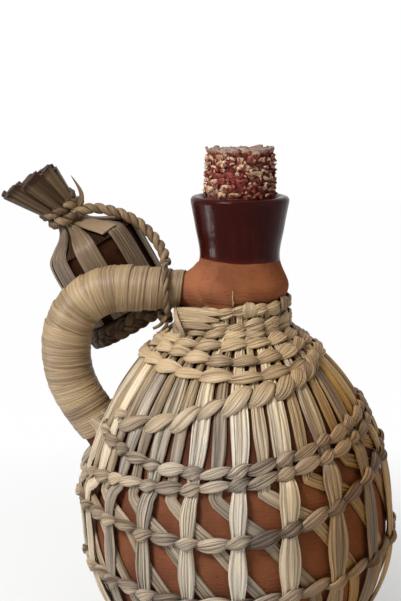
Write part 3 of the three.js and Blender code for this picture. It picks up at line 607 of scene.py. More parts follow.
def rushes():
    """Shared dry-leaf effect: fibres along the leaf, bleached patches, brown flecks.

    It also paints sheen and shade: greyer and darker low on the front and left, darker on the right.
    """
    group = bpy.data.node_groups.new("dry_leaf", "ShaderNodeTree")
    for way, names, kind in [
        ("INPUT", ("Pale", "Deep"), "Color"), ("INPUT", ("Fibre", "Bleach_sheen_shade", "Stain", "Ripe"), "Float"),
        ("OUTPUT", ("Color",), "Color"), ("OUTPUT", ("Roughness", "Height"), "Float"),
    ]:
        for name in names:
            group.interface.new_socket(name, in_out=way, socket_type="NodeSocket" + kind)
    given = group.nodes.new("NodeGroupInput").outputs
    along = add_node(group, "UVMap", uv_map="leaf").outputs[0]
    where = add_node(group, "TexCoord").outputs["Object"]
    axes = add_node(group, "SeparateXYZ", {0: where}).outputs
    tone = add_node(group, "Attribute", attribute_name="tone").outputs["Fac"]

    def streaks(length, across, detail):
        placed = add_node(group, "Mapping", {0: along, "Scale": (length, across, 1)}).outputs[0]
        return grainy(placed, given["Fibre"], detail, 0.6)

    fine, broad, flecks = streaks(0.035, 2.4, 3), streaks(0.02, 0.55, 2), streaks(0.35, 1.1, 2)
    light = plus(times(fine, 0.5), times(broad, 0.65))
    light = plus(light, times(minus(tone, 0.5), 0.26))
    colour = mixed(spread(light, 0.39, 0.74), given["Deep"], given["Pale"])
    # Low on the front and left the leaves are greyer and darker: partly bleached leaf, partly painted
    # sheen, which greys them, and painted shade, which darkens them.
    front = times(spread(axes["X"], *BLEACH_SHEEN_RIGHT), spread(axes["X"], *BLEACH_SHEEN_LEFT, 0.35, 1.0))
    patches = spread(grainy(where, 38, 2), 0.3, 0.6, 0.5, 1.0)
    faded_sheen_shade = times(times(spread(axes["Z"], *BLEACH_SHEEN_Z), front), times(patches, given["Bleach_sheen_shade"]))
    # Towards the right the leaves are more golden and redder, and painted darker as shade, away from
    # the window.
    ripe = spread(axes["X"], *RIPE_SHADE_RIGHT)
    tinted = {
        "Hue": minus(0.5, times(ripe, RIPE_HUE)),
        "Saturation": minus(plus(1.0, times(ripe, given["Ripe"])), times(faded_sheen_shade, FADE_SHEEN)),
        "Value": minus(1.0, plus(times(faded_sheen_shade, FADE_SHADE_DEPTH), times(ripe, RIPE_SHADE_DEPTH))),
        "Color": colour,
    }
    colour = add_node(group, "HueSaturation", tinted).outputs[0]
    colour = mixed(spread(fine, 0.40, 0.30, 0.0, 0.55), colour, SLIT)
    colour = mixed(times(spread(flecks, 0.6, 0.75), given["Stain"]), colour, FLECK)
    out = group.nodes.new("NodeGroupOutput").inputs
    group.links.new(colour, out["Color"])
    group.links.new(spread(fine, 0.3, 0.7, 0.58, 0.37), out["Roughness"])
    group.links.new(plus(fine, times(broad, 0.6)), out["Height"])
    return group


dry_leaf = rushes()


def rush_finish(name, pale, deep, bleach_sheen_shade, stain, specular, ripe=0.0, fibre=1.0):
    finish, tree, shader = new_finish(name, specular)
    values = {"Fibre": fibre, "Bleach_sheen_shade": bleach_sheen_shade, "Stain": stain, "Ripe": ripe}
    colours = {"Pale": paint(pale), "Deep": paint(deep)}
    rush = add_node(tree, "Group", values | colours, node_tree=dry_leaf).outputs
    normal = bumped(rush["Height"], 0.55, 0.0004)
    feed(shader, Base_Color=rush["Color"], Roughness=rush["Roughness"], Normal=normal)
    return finish


def pinched(angle, z, names, least, reach):
    """Share of a leaf's width where rows hold it: least in a row, whole between rows."""
    hold = max(exp(-(((z - row_height(name, angle)) / reach) ** 2)) for name in names)
    return 1 - (1 - least) * hold


upright_rush = rush_finish(
    "rush_stake", "#dfc9a3", "#4c3620", bleach_sheen_shade=0.95, stain=0.45, specular=0.75, ripe=0.8,
)
rng = Random("uprights")
for k in range(STAKES):
    angle = stake_angle(k + STAKE_OFFSET)
    top = row_height("neck_border", angle) - STAKE_TUCK
    under = row_height("belly_row_lower", angle) - STEP_DROP
    broad = UPRIGHT_W * rng.uniform(0.92, 1.12) * broader(angle, 0.3)
    sway, shift, ridges = rng.uniform(0, 40), rng.uniform(0, 9), rng.choice([3, 4, 5])
    stations = []
    for z in climb(STAKE_FOOT_Z, top, UPRIGHT_STEPS):
        lift = INNER_LIFT + (OUTER_LIFT - INNER_LIFT) * ease(under - z, 0, STEP_RUN)
        turn = wander(angle, z, sway, 0.9)
        if z > row_height("belly_row_upper", angle):
            width = min(broad, room_beside(z) + 0.4) * pinched(angle, z, SHOULDER_HOLDS, 0.82, 6)
        else:
            width = broad * 1.04 * pinched(angle, z, LATTICE_HOLDS, 0.66, 7.5)
        width *= 1 + 0.09 * noise((z * 0.06, sway, 7))
        normal = clay_normal(turn, z)
        tilt = 0.10 * noise((z * 0.04, sway, 3))
        normal = (normal + tilt * UP.cross(normal).normalized()).normalized()
        stations.append((on_clay(turn, z, lift), normal, width))
    bm = fresh_mesh()
    leaf(bm, stations, LEAF_T, rng.uniform(0.05, 1.0), ridges, groove=0.9, top=32, shift=shift)
    number = f"{k + 1:02d}"
    set_down(
        bm, "upright_leaf_" + number, upright_rush, "jug", "rush_stake", "upright_stake_" + number,
        crease=LEAF_CREASE,
    )


# Crossed leaves: twenty more leaves, narrower. They lie beside the uprights on the shoulder, then
# slant behind them from the belly rows down, one place round in each zone of the lattice.
CROSSED_W, CROSSED_T, CROSSED_STEPS, CROSSED_ROOM = 5.4, 1.4, 84, 0.72
crossed_rush = rush_finish(
    "rush_crossed", "#c9ad82", "#624a2e", bleach_sheen_shade=0.85, stain=0.45, specular=0.55, ripe=0.62,
)
rng = Random("crossed")
for k in range(STAKES):
    place = k + STAKE_OFFSET + 0.5
    angle = stake_angle(place)
    turns = [
        (place, row_height("neck_border", angle) - STAKE_TUCK),
        (place, row_height("belly_row_lower", angle) - STEP_DROP - STEP_RUN),
        (place + 1, row_height("lattice_row_1", stake_angle(place + 1))),
        (place + 2, row_height("lattice_row_2", stake_angle(place + 2))),
        (place + 2.5, STAKE_FOOT_Z),
    ]
    broad = CROSSED_W * rng.uniform(0.9, 1.15) * broader(angle, 0.25)
    sway, shift, ridges = rng.uniform(0, 40), rng.uniform(0, 9), rng.choice([2, 3, 4])
    stations = []
    for z in climb(STAKE_FOOT_Z, turns[0][1], CROSSED_STEPS):
        for (upper, high), (lower, low) in zip(turns, turns[1:]):
            if z >= low - 1e-6:
                here = lower + (upper - lower) * min((z - low) / (high - low), 1)
                break
        turn = wander(stake_angle(here), z, sway, 0.8)
        width = min(broad, CROSSED_ROOM * room_beside(z))
        if z > turns[1][1]:
            width *= pinched(angle, z, SHOULDER_HOLDS, 0.82, 6)
        width *= 1 + 0.1 * noise((z * 0.06, sway, 7))
        stations.append((on_clay(turn, z, INNER_LIFT), clay_normal(turn, z), width))
    bm = fresh_mesh()
    leaf(bm, stations, CROSSED_T, rng.uniform(0.05, 0.85), ridges, groove=0.7, top=24, shift=shift)
    number = f"{k + 1:02d}"
    set_down(
        bm, "crossed_leaf_" + number, crossed_rush, "jug", "rush_crossed", "crossed_stake_" + number,
        crease=LEAF_CREASE,
    )


# Twined rows: two leaves twisted round each other and round the stakes, so each row is a line of
# slanting lens-shaped stitches. The neck has three close rows, the shoulder two, and a border with
# a few wraps and loose leaf ends closes the weave under the collar.
STITCH_STEPS, STITCH_TOP, TWINE_CREASE = 12, 22, 42
row_rush = rush_finish(
    "rush_row", "#c1a782", "#563e25", bleach_sheen_shade=0.85, stain=0.45, specular=0.35, ripe=0.35,
)


def twine(bm, rng, route, stitches, width, lift, swing, roll, thick, blunt, edge, hoop=True, start=0.0,
          uneven=0.0, twist=0.55, shade=0.0, sink=0.0):
    """Adds two twisted leaves along route(share), which gives an angle and a height on the clay.

    They swing in and out about the lift; with sink, the first lies closer to the clay.
    """
    turns = stitches / 2
    steps = stitches * STITCH_STEPS
    for strand in (0, 1):
        size = [rng.uniform(0.8, 1.18) for _ in range(int(turns) + 2)]
        tones = [rng.uniform(0.0, 1.0) + shade for _ in size]
        nudge = [rng.uniform(-0.8, 0.8) for _ in size]
        slant = [rng.uniform(0.5, 1.5) for _ in size]
        hug = sink * (1 - strand)
        stations, shades = [], []
        for i in range(steps if hoop else steps + 1):
            angle, z = route(i / steps)
            phase = tau * turns * i / steps + start
            phase += pi * strand - uneven * sin(phase)
            k = floor(phase / tau + 0.5) % int(turns if hoop else turns + 2)
            front, side = (cos(phase) + 1) / 2, sin(phase)
            normal = clay_normal(angle, z)
            over = (UP - normal * normal.z).normalized()
            point = on_clay(angle, z, lift - hug + (swing - hug) * cos(phase))
            point += over * (roll * slant[k] * side + nudge[k] * front)
            outward = (normal + twist * side * over).normalized()
            full = 0.12 + 0.88 * front ** blunt
            stations.append((point, outward, width * size[k] * full, full ** 0.5))
            # Painted shade: each stitch is darker towards its tucked ends and paler in its raised
            # middle.
            shades.append(tones[k] + 1.4 * (front ** 0.5 - 0.72))
        leaf(
            bm, stations, thick, lambda i: shades[i % len(shades)], ridges=6, groove=0.5, under=0.5,
            edge=edge, top=STITCH_TOP, hoop=hoop, shift=rng.uniform(0, 9),
        )


def round_row(name, rise):
    """Route of a row round the carafe, or along the part of it that PART_ROWS gives."""
    first, last = PART_ROWS.get(name, (0, STAKES))

    def route(share):
        angle = stake_angle(first + (last - first) * share)
        return angle, row_height(name, angle) + rise

    return route


OVER_UPRIGHTS = pi - tau * STAKE_OFFSET
BETWEEN = OVER_UPRIGHTS + pi
NECK = dict(lift=1.7, swing=1.3, roll=0.6, thick=1.3, blunt=0.95, edge=3, twist=0.2, shade=0.2)
BORDER = dict(NECK, stitches=18, width=5.6, swing=1.1, roll=0.4, blunt=0.8, start=0.5)
BELLY = dict(
    lift=1.7, swing=1.2, roll=0.9, thick=1.5, blunt=1.2, edge=2.6, uneven=0.34, twist=0.35, shade=-0.1,
)
LATTICE = dict(BELLY, lift=2.8, swing=1.6, shade=-0.5, sink=0.7)
PART_ROWS = {"belly_row_upper": (1, 19)}
# Each row: its manner, then the stitches, width, rise and first phase of each of its twists.
ROW_TWISTS = {
    "neck_band": (NECK, [(16, 6.0, 2.3, 0.0), (16, 5.8, -1.6, pi), (16, 6.2, -6.2, 0.0)]),
    "shoulder_band": (NECK, [(20, 6.8, 0.8, OVER_UPRIGHTS), (20, 6.8, -4.8, BETWEEN)]),
    "belly_row_lower": (BELLY, [(40, 5.8, 0, OVER_UPRIGHTS)]),
    "lattice_row_1": (LATTICE, [(40, 6.2, 0, OVER_UPRIGHTS)]),
    "lattice_row_2": (LATTICE, [(40, 6.2, 0, OVER_UPRIGHTS)]),
    "foot_row": (LATTICE, [(40, 6.0, 0, OVER_UPRIGHTS)]),
    "belly_row_upper": (dict(BELLY, hoop=False, shade=-0.15), [(36, 5.8, 0, OVER_UPRIGHTS)]),
}
for name, (manner, twists) in ROW_TWISTS.items():
    rng = Random(name)
    bm = fresh_mesh()
    for stitches, width, rise, start in twists:
        twine(bm, rng, round_row(name, rise), stitches, width, start=start, **manner)
    set_down(bm, name + "_twine", row_rush, "jug", "rush_row", name, crease=TWINE_CREASE)

TUCKS, TUCK_STEPS, TUCK_BEND, END_STEPS = 7, 8, 1.15 * pi, 24
LOOSE_ENDS = [
    (
        (-6, -22.4, 153.6), (-14, -21, 154.2), (-21.5, -17.6, 154.2), (-26.8, -12.6, 153.2),
        (-29, -5, 151),
    ),
    (
        (-9, -21.8, 150.6), (-16, -20.4, 151.2), (-22.4, -16.8, 151.2), (-27, -11.6, 150.2),
        (-28.6, -4, 148.6),
    ),
    (
        (-11, -21, 147.4), (-17.6, -19.6, 148.2), (-23.2, -15.8, 148), (-26.8, -10.6, 147),
        (-27.6, -3, 145.4),
    ),
    ((-28.6, -8, 154), (-28.4, -12.4, 151), (-26.4, -15.4, 146), (-23.4, -15.2, 140)),
    ((-28.6, -2, 148.4), (-29.2, -7, 144), (-27, -10.6, 140.4), (-25.4, -11, 136.4)),
]
rng = Random("neck_border")
bm = fresh_mesh()
twine(bm, rng, round_row("neck_border", rise=-0.2), **BORDER)
for k in range(TUCKS):
    angle = tau * (k + rng.uniform(-0.22, 0.22)) / TUCKS + 0.35
    z, wide, shift = row_height("neck_border", angle), rng.uniform(4.6, 8.2), rng.uniform(0, 9)
    stations = []
    for i in range(TUCK_STEPS + 1):
        share = i / TUCK_STEPS - 0.5
        bend, turn = TUCK_BEND * share, angle + 0.04 * share
        out = on_clay(turn, z, 1.9 + 1.7 * cos(bend)) + UP * (3.0 * sin(bend))
        normal = (clay_normal(turn, z) * cos(bend) + UP * sin(bend)).normalized()
        stations.append((out, normal, wide * (0.55 + 0.45 * max(cos(bend), 0))))
    leaf(bm, stations, 0.8, rng.uniform(0.2, 1), ridges=3, groove=0.4, under=0.3, top=12, shift=shift)
for spots in LOOSE_ENDS:
    line, wide, shift = smooth_line(spots, END_STEPS), rng.uniform(3.4, 4.6), rng.uniform(0, 9)
    stations = []
    for i, at in enumerate(line):
        outward = Vector((at.x, at.y, 3)).normalized()
        taper = ease(i, 0, 7) * (1 - ease(i, 18, END_STEPS))
        stations.append((at, outward, wide * (0.3 + 0.7 * taper)))
    leaf(
        bm, stations, 1.0, rng.uniform(0.1, 1.0), ridges=4, groove=0.4, under=0.4, edge=2.5, top=16,
        shift=shift,
    )
set_down(bm, "neck_border_twine", row_rush, "jug", "rush_row", "neck_border", crease=TWINE_CREASE)


# Loose weaver: the end of the shoulder rows, two leaves twined in long pointed stitches. It comes
# round from the right and runs down across the uprights to the root of the handle.
# Its route: degrees round from the handle, and share of the way up from the belly rows.
WEAVER_ROUTE = [
    (146, 1.15), (138, 1.06), (128, 0.98), (118, 0.93), (105, 0.89), (92, 0.81), (79, 0.70),
    (67.5, 0.57), (56, 0.44), (42, 0.25), (26, 0.10),
]
WEAVER_FOOT, WEAVER_HEAD, WEAVER_STEPS = 5.2, 7.6, 60
WEAVER = dict(
    stitches=10, width=7.2, lift=1.3, swing=1.7, roll=2.6, thick=1.5, blunt=1.25, edge=3, start=0.6,
)
weaver_line = smooth_line(WEAVER_ROUTE, WEAVER_STEPS)


def weaver_route(share):
    at = WEAVER_STEPS * (1 - share)
    k = min(int(at), WEAVER_STEPS - 1)
    degrees, height = weaver_line[k].lerp(weaver_line[k + 1], at - k)
    angle = pi + radians(degrees)
    low = row_height("belly_row_upper", angle) + WEAVER_FOOT
    high = row_height("shoulder_band", angle) - WEAVER_HEAD
    return angle, low + (high - low) * height


rng = Random("weaver")
bm = fresh_mesh()
twine(bm, rng, weaver_route, hoop=False, **WEAVER)
set_down(bm, "weaver_twine", row_rush, "jug", "rush_row", "shoulder_weaver", crease=TWINE_CREASE)


# Winding of the handle: long flat leaves wound edge over edge from the collar to the root, pulled
# tight, so only fine slits show between the turns.
WRAP_TURNS, WRAP_START, WRAP_LAP, WRAP_END = 18, 5.3, 1.2, HANDLE_LENGTH - 9
WRAP_STEPS, WRAP_LIFT, WRAP_T, WRAP_TILT, WRAP_CREASE = 40, 1.0, 0.5, 0.045, 40
WRAP_PITCH = (WRAP_END - WRAP_START - WRAP_LAP) / WRAP_TURNS
SWELL, SWELL_AT, SWELL_REACH = 0.6, 74, 26
wrap_rush = rush_finish("rush_wrap", "#b0946b", "#6a5234", bleach_sheen_shade=0.3, stain=0.3, specular=0.6)
rng = Random("winding")
# Each turn has its own tone; the first turns, by the collar and under the hanging cup, are painted
# darker as shade.
turn_tones_shaded = [rng.uniform(0.2, 0.85) * (0.35 + 0.65 * ease(k, 2, 7)) for k in range(WRAP_TURNS + 2)]
turn_drift = [rng.uniform(-0.24, 0.24) for _ in range(WRAP_TURNS + 2)]
stations, shades = [], []
for i in range(WRAP_TURNS * WRAP_STEPS + 1):
    turns = i / WRAP_STEPS
    k = int(turns)
    drift = turn_drift[k] + (turn_drift[k + 1] - turn_drift[k]) * (turns - k)
    along = WRAP_START + WRAP_PITCH * (turns + drift * ease(turns, 2, 4))
    wide = WRAP_PITCH * (1.0 + 0.55 * ease(turns, 1.6, 2.6))
    lift = WRAP_LIFT + SWELL * exp(-((along - SWELL_AT) / SWELL_REACH) ** 2)
    lift += 0.12 * noise((turns * 3.1, 4.0, 0))
    point, outward = on_handle(along, tau * turns, lift)
    ahead = on_handle(along + 1, tau * turns, lift)[0] - point
    stations.append((point, (outward + WRAP_TILT * ahead.normalized()).normalized(), wide))
    shades.append(turn_tones_shaded[k])
bm = fresh_mesh()
leaf(bm, stations, WRAP_T, lambda i: shades[i], ridges=6, groove=0.2, under=0.2, edge=2.5, top=30)
set_down(bm, "handle_winding", wrap_rush, "jug", "rush_wrap", "handle_wrap", crease=WRAP_CREASE)


# Root leaves: six short leaves tucked under the last turns of the winding. They fan out over the
# root of the handle and go under the belly rows, so little of its clay shows.
ROOT_LEAF_W, ROOT_LEAF_STEPS = 6.4, 24
ROOT_TURNS, ROOT_SPREAD = (17, 50, 86), (0.06, 0.17, 0.29)
rng = Random("root")
for k in range(2 * len(ROOT_TURNS)):
    side = 1 if k < len(ROOT_TURNS) else -1
    place = k % len(ROOT_TURNS)
    turn = -side * radians(ROOT_TURNS[place])
    off = pi + side * (ROOT_SPREAD[place] + rng.uniform(-0.015, 0.015))
    foot = row_height("belly_row_lower", off) - 1.0
    high, outer = on_handle(HANDLE_LENGTH - 15, turn, 1.2)
    mid, middle = on_handle(HANDLE_LENGTH - 6, turn, 2.4)
    spots = [high, mid, on_clay(off, foot + 5, 2.8), on_clay(off, foot, 1.6)]
    facing = [outer, middle, clay_normal(off, foot + 5), clay_normal(off, foot)]
    line, normals = smooth_line(spots, ROOT_LEAF_STEPS), smooth_line(facing, ROOT_LEAF_STEPS)
    broad, shift = ROOT_LEAF_W * rng.uniform(0.9, 1.15), rng.uniform(0, 9)
    stations = [
        (at, normal.normalized(), broad * (0.6 + 0.4 * ease(i, 0, 10)))
        for i, (at, normal) in enumerate(zip(line, normals))
    ]
    bm = fresh_mesh()
    leaf(bm, stations, 1.0, rng.uniform(0.1, 0.8), rng.choice([3, 4]), groove=0.5, shift=shift)
    set_down(bm, f"root_leaf_{k + 1}", upright_rush, "jug", "rush_stake", crease=LEAF_CREASE)


# Stray fibre: a splinter of pale leaf left over from the weaving. It sticks to the front of the
# bare collar, just above the border.
FIBRE_ANGLE, FIBRE_LOW, FIBRE_HIGH = radians(-97.5), 156.8, 164.2
FIBRE_W, FIBRE_STEPS = 0.75, 14
stations = []
for i in range(FIBRE_STEPS + 1):
    share = i / FIBRE_STEPS
    z = FIBRE_LOW + (FIBRE_HIGH - FIBRE_LOW) * share
    radius = next(r for r, height in mouth_wall if height >= z) + 0.25
    turn = FIBRE_ANGLE + 0.025 * noise((i * 0.4, 2, 0))
    outward = Vector((cos(turn), sin(turn), 0))
    stations.append((radius * outward + z * UP, outward, FIBRE_W * (1 - 0.6 * share ** 2)))
bm = fresh_mesh()
leaf(bm, stations, thick=0.3, tones=1.0, under=1, edge=2, top=4)
set_down(bm, "stray_fibre", row_rush, "jug", "rush_row")


# Drinking cup: a small straight beaker of the same clay, glazed dark brown all over. It hangs mouth
# down behind the handle.
CUP_R, CUP_H, CUP_WALL, CUP_BASE, CUP_ROUND, CUP_SIDES = 21.2, 44, 3.5, 4.5, 3, 72
CUP_PLACE = Matrix.Translation((-49, 34.45, 140.3)) @ Matrix.Rotation(radians(-30), 4, "Y")
CUP_DARK, CUP_BROWN, CUP_POOL = map(paint, ("#241109", "#3f2415", "#160805"))
cup_glaze, tree, shader = new_finish("cup_glaze", 0.03)
where = add_node(tree, "TexCoord").outputs["Object"]
flow, pooled = grainy(where, 130, 4), grainy(where, 700, 2)
brown = mixed(spread(flow, 0.35, 0.7), CUP_DARK, CUP_BROWN)
brown = mixed(spread(pooled, 0.66, 0.75), brown, CUP_POOL)
rough = spread(pooled, 0.3, 0.7, 0.45, 0.65)
feed(shader, Base_Color=brown, Roughness=rough, Normal=bumped(flow, 0.25, 0.0004))
corner = [(CUP_ROUND * (sin(t * pi / 12) - 1), CUP_ROUND * (cos(t * pi / 12) - 1)) for t in range(7)]
cup_corner = [(CUP_R + out, CUP_H + up) for out, up in corner]
inner_corner = [(CUP_R - CUP_WALL + out, CUP_H - CUP_BASE + up) for up, out in corner]
bm = bmesh.new()
spun(bm, [
    (0, CUP_H), *cup_corner, (CUP_R, CUP_H / 2), (CUP_R, 1.2), (CUP_R - 0.6, 0.3), (CUP_R - 1.7, 0),
    (CUP_R - 2.9, 0.3), (CUP_R - CUP_WALL, 1.2), *inner_corner, (0, CUP_H - CUP_BASE),
], CUP_SIDES)
set_down(bm, "clay_beaker", cup_glaze, "cup", "cup_glaze", "glazed_cup", at=CUP_PLACE, crease=60)


# Cover of the cup: eight broad leaves run up its wall, fold over the base and are gathered into a
# stem, where they are bound, splayed and cut off. A cut leaf is tucked in at the front, darker
# leaves, painted dark and dull as shade, lie inside the fold, and shorter ones fill the stem.
STRAPS, STRAP_W, STRAP_T = 8, 11.6, 1.3
COVER_LINE = [
    (21.8, 8.4), (22.1, 20), (22.3, 30), (22.2, 39), (21.1, 44.5), (17.0, 47.8), (11.6, 50.8),
    (7.4, 54.2), (5.4, 58.5),
]
COVER_TAPER, BOUND_WIDTHS = (0.92, 1, 1, 0.98, 0.95, 0.85, 0.62), (5.2, 4.4)
CUT_TURN, CUT_WIDTHS = 0.62 - pi / 2, (4.2, 5.5, 8, 9, 9.4, 9.4)
CUT_LINE = [(5.6, 60), (6.4, 57.2), (10.5, 54.2), (15.5, 50.6), (19.2, 48.4), (22.6, 45.9)]
INNER_LINE = [(21.7, 42.6), (20.7, 44.3), (17.0, 46.2), (11.8, 49.4), (7.4, 53), (5.2, 58)]
INNER_WIDTHS = (9, 9, 8.4, 6.4, 4.6, 4)
BINDING_Z, STEM_TOP = 61, 84.2
# Rings of the stem, from outside: radius in the binding, leaves, radius at the top, width, thickness.
STEM_RINGS = [
    (5.2, 13, 12.4, 6.4, 1.7), (3.8, 10, 8.8, 5.6, 2.0), (2.2, 7, 5.2, 4.8, 2.2),
    (0.8, 3, 1.9, 4.4, 2.4),
]
SLIVER_LINE = [(2, -4.5, 61.5), (6, -5, 63), (8.3, -5, 66.2), (8.8, -5, 70.5), (8.5, -5, 76.2)]
SLIVER_W, SLIVER_STEPS, SLIVER_FACING = 2.6, 24, Vector((0.2, -1, 0.1)).normalized()
cover_rush = rush_finish("rush_cover", "#856d51", "#3c2d22", bleach_sheen_shade=0.4, stain=0.5, specular=0.45)
inner_shade_rush = rush_finish("rush_inner_shade", "#433222", "#22170f", bleach_sheen_shade=0.0, stain=0.5, specular=0.0)
stem_rush = rush_finish("rush_stem", "#80684e", "#38271b", bleach_sheen_shade=0.2, stain=0.6, specular=0.12)


def stem_centre(z):
    above = max(0, z - BINDING_Z)
    return Vector((-3 * ease(z, 44, 57) - 0.33 * above, -0.26 * above, z))


def round_stem(turn, radius, z):
    return stem_centre(z) + radius * Vector((cos(turn), sin(turn), 0))


def strap_stations(turn, line, widths, twist=0.0):
    """Stations of a leaf along a line of radius and height round the stem, facing away from it."""
    points, stations = smooth_line(line, 6 * (len(line) - 1)), []
    last = len(points) - 1
    for i, (radius, z) in enumerate(points):
        slope = (points[min(i + 1, last)] - points[max(i - 1, 0)]).normalized()
        share = (len(widths) - 1) * i / last
        k = min(int(share), len(widths) - 2)
        width = widths[k] + (widths[k + 1] - widths[k]) * (share - k)
        here = turn + twist * i / last
        facing = Vector((cos(here) * slope.y, sin(here) * slope.y, -slope.x))
        stations.append((round_stem(here, radius, z), facing, width))
    return stations


rng = Random("cover")
bm = fresh_mesh()
for k in range(STRAPS):
    turn = -pi / 2 + tau * k / STRAPS + rng.uniform(-0.05, 0.05)
    wide = STRAP_W * rng.uniform(0.9, 1.06)
    line = [(radius + 0.25 * (k % 2), z) for radius, z in COVER_LINE]
    widths = [wide * taper for taper in COVER_TAPER] + [*BOUND_WIDTHS]
    tone, ridges = rng.uniform(0.2, 0.9), rng.choice([5, 6])
    leaf(
        bm, strap_stations(turn, line, widths), STRAP_T, tone, ridges, groove=0.55, under=0.3, top=26,
        shift=rng.uniform(0, 9),
    )
cut_leaf = strap_stations(CUT_TURN, CUT_LINE, CUT_WIDTHS)
leaf(bm, cut_leaf, 0.8, 1.0, ridges=4, groove=0.35, under=0.3, edge=4)
set_down(
    bm, "cup_straps", cover_rush, "cup", "rush_cover", "cup_cover", at=CUP_PLACE, crease=LEAF_CREASE,
)

# Painted shade: the leaves inside the fold are dark and dull, for the shade under the straps.
rng = Random("inner")
bm = fresh_mesh()
for k in range(STRAPS):
    stations = strap_stations(-pi / 2 + tau * (k + 0.5) / STRAPS, INNER_LINE, INNER_WIDTHS)
    tone, shift = rng.uniform(0, 0.6), rng.uniform(0, 9)
    leaf(bm, stations, 0.7, tone, ridges=3, groove=0.3, under=0.3, top=16, shift=shift)
set_down(bm, "cup_inner_shade_leaves", inner_shade_rush, "cup", "rush_cover", at=CUP_PLACE, crease=LEAF_CREASE)

rng = Random("stem")
bm = fresh_mesh()
for ring, count, end_r, wide, deep in STEM_RINGS:
    for k in range(count):
        turn = tau * (k + rng.uniform(-0.2, 0.2)) / count + ring
        end = end_r + rng.uniform(-1.0, 1.2)
        tip, tone = STEM_TOP + rng.uniform(-1.8, 1.5), rng.uniform(-0.1, 1.1)
        line = [(ring, 56), (ring, 62), (ring * 1.35, 66), (ring + 0.55 * (end - ring), 73), (end, tip)]
        widths = [wide * share for share in (0.55, 0.5, 0.62, 0.82, rng.uniform(0.9, 1.1))]
        stations = strap_stations(turn, line, widths, rng.uniform(-0.15, 0.15))
        leaf(
            bm, stations, deep, lambda i: tone - 1.3 * ease(i, 22, 24), ridges=rng.choice([1, 2]),
            groove=0.22, under=0.6, edge=5, top=12, shift=rng.uniform(0, 9),
        )
stations = [
    (at, SLIVER_FACING, SLIVER_W * (1 - (i / SLIVER_STEPS) ** 2) + 0.15)
    for i, at in enumerate(smooth_line(SLIVER_LINE, SLIVER_STEPS))
]
leaf(bm, stations, 0.4, 0.9, ridges=1, groove=0.2, under=0.5, top=6)
set_down(bm, "cut_stems", stem_rush, "cup", "rush_cover", at=CUP_PLACE, crease=TWINE_CREASE)


# Plaited rim: three flat leaves plaited into a ring round the mouth of the cup. It is pressed over
# the lower ends of the straps and holds them together.
PLAIT_R, PLAIT_Z, PLAIT_TURNS, PLAIT_STEPS = 23.2, 3.0, 9, 18
PLAIT_W, PLAIT_T, PLAIT_RISE, PLAIT_DEPTH = 4.6, 1.3, 2.7, 1.1
rng = Random("plait")
bm = fresh_mesh()
for strand in range(3):
    stations = []
    for i in range(PLAIT_TURNS * PLAIT_STEPS):
        turn = tau * i / (PLAIT_TURNS * PLAIT_STEPS)
        phase = PLAIT_TURNS * turn + tau * strand / 3
        out = PLAIT_R + PLAIT_DEPTH * sin(2 * phase) + 0.25 * noise((turn * 4, strand, 0))
        facing = Vector((cos(turn), sin(turn), 0.25 * sin(phase))).normalized()
        at = Vector((out * cos(turn), out * sin(turn), PLAIT_Z + PLAIT_RISE * sin(phase)))
        stations.append((at, facing, PLAIT_W + 0.6 * noise((turn * 6, strand, 5))))
    leaf(
        bm, stations, PLAIT_T, rng.uniform(0, 0.6), ridges=2, groove=0.35, under=0.7, edge=2.4, top=8,
        hoop=True, shift=rng.uniform(0, 9),
    )
set_down(bm, "plaited_rim", stem_rush, "cup", "rush_cover", "cup_rim_braid", at=CUP_PLACE)


# Cord: two plies of twisted leaf, thinner than a pencil. It runs stiffly from the loop on the
# handle over the cup's shoulder and ends in turns that bind the stem.
CORD_R, CORD_PITCH = 2.3, 10.5
CORD_ROUTE = [
    (28.8, -26.1, 20), (29.4, -24.6, 21.6), (29.8, -22.6, 23.8), (29.8, -20.2, 26.6),
    (29.4, -17.8, 29.8), (28.6, -15.6, 33.4), (27.4, -13.6, 37.2), (25.8, -12, 41),
    (23.6, -10.8, 44.8), (20.8, -9.9, 48.6), (17.6, -9.2, 52), (14.2, -8.6, 55),
    (10.8, -8.1, 57.4), (7.4, -7.8, 58.9), (4.4, -7.7, 59.4), (1.9, -7.7, 59.5),
]
COIL_R, COIL_FOOT, COIL_TURNS, COIL_PITCH, COIL_STEPS = 7.7, 59.5, 1.75, 5.3, 32
COIL_THICK, COIL_OFF, COIL_LEAN = 1.25, -3, -0.3
cord_rush = rush_finish(
    "rush_cord", "#917856", "#503b26", bleach_sheen_shade=0.25, stain=0.5, specular=0.3, fibre=1.1,
)


def rope(bm, points, radius, pitch, side, rng, phase=0.0):
    """Adds two plies twisted along points, from any side of the start. Returns the last phase."""
    last = len(points) - 1
    before = (points[1] - points[0]).normalized()
    side = (side - before * side.dot(before)).normalized()
    plies, run, shades = [[], []], 0.0, [rng.uniform(-0.3, 0.2), rng.uniform(0.5, 0.9)]
    for i, at in enumerate(points):
        ahead = (points[min(i + 1, last)] - points[max(i - 1, 0)]).normalized()
        side = before.rotation_difference(ahead) @ side
        before = ahead
        run += (at - points[i - 1]).length if i else 0
        for ply in (0, 1):
            turn = phase + tau * run / pitch + pi * ply
            outward = side * cos(turn) + ahead.cross(side) * sin(turn)
            lump = 1 + 0.08 * noise((run * 0.5, ply, radius))
            plies[ply].append((at + outward * radius * 0.54, outward, 2 * radius * 0.72 * lump))
    for ply, shade in zip(plies, shades):
        leaf(bm, ply, radius * 0.6, shade, under=1.0, edge=2, top=10, bottom=8, shift=rng.uniform(0, 9))
    return phase + tau * run / pitch


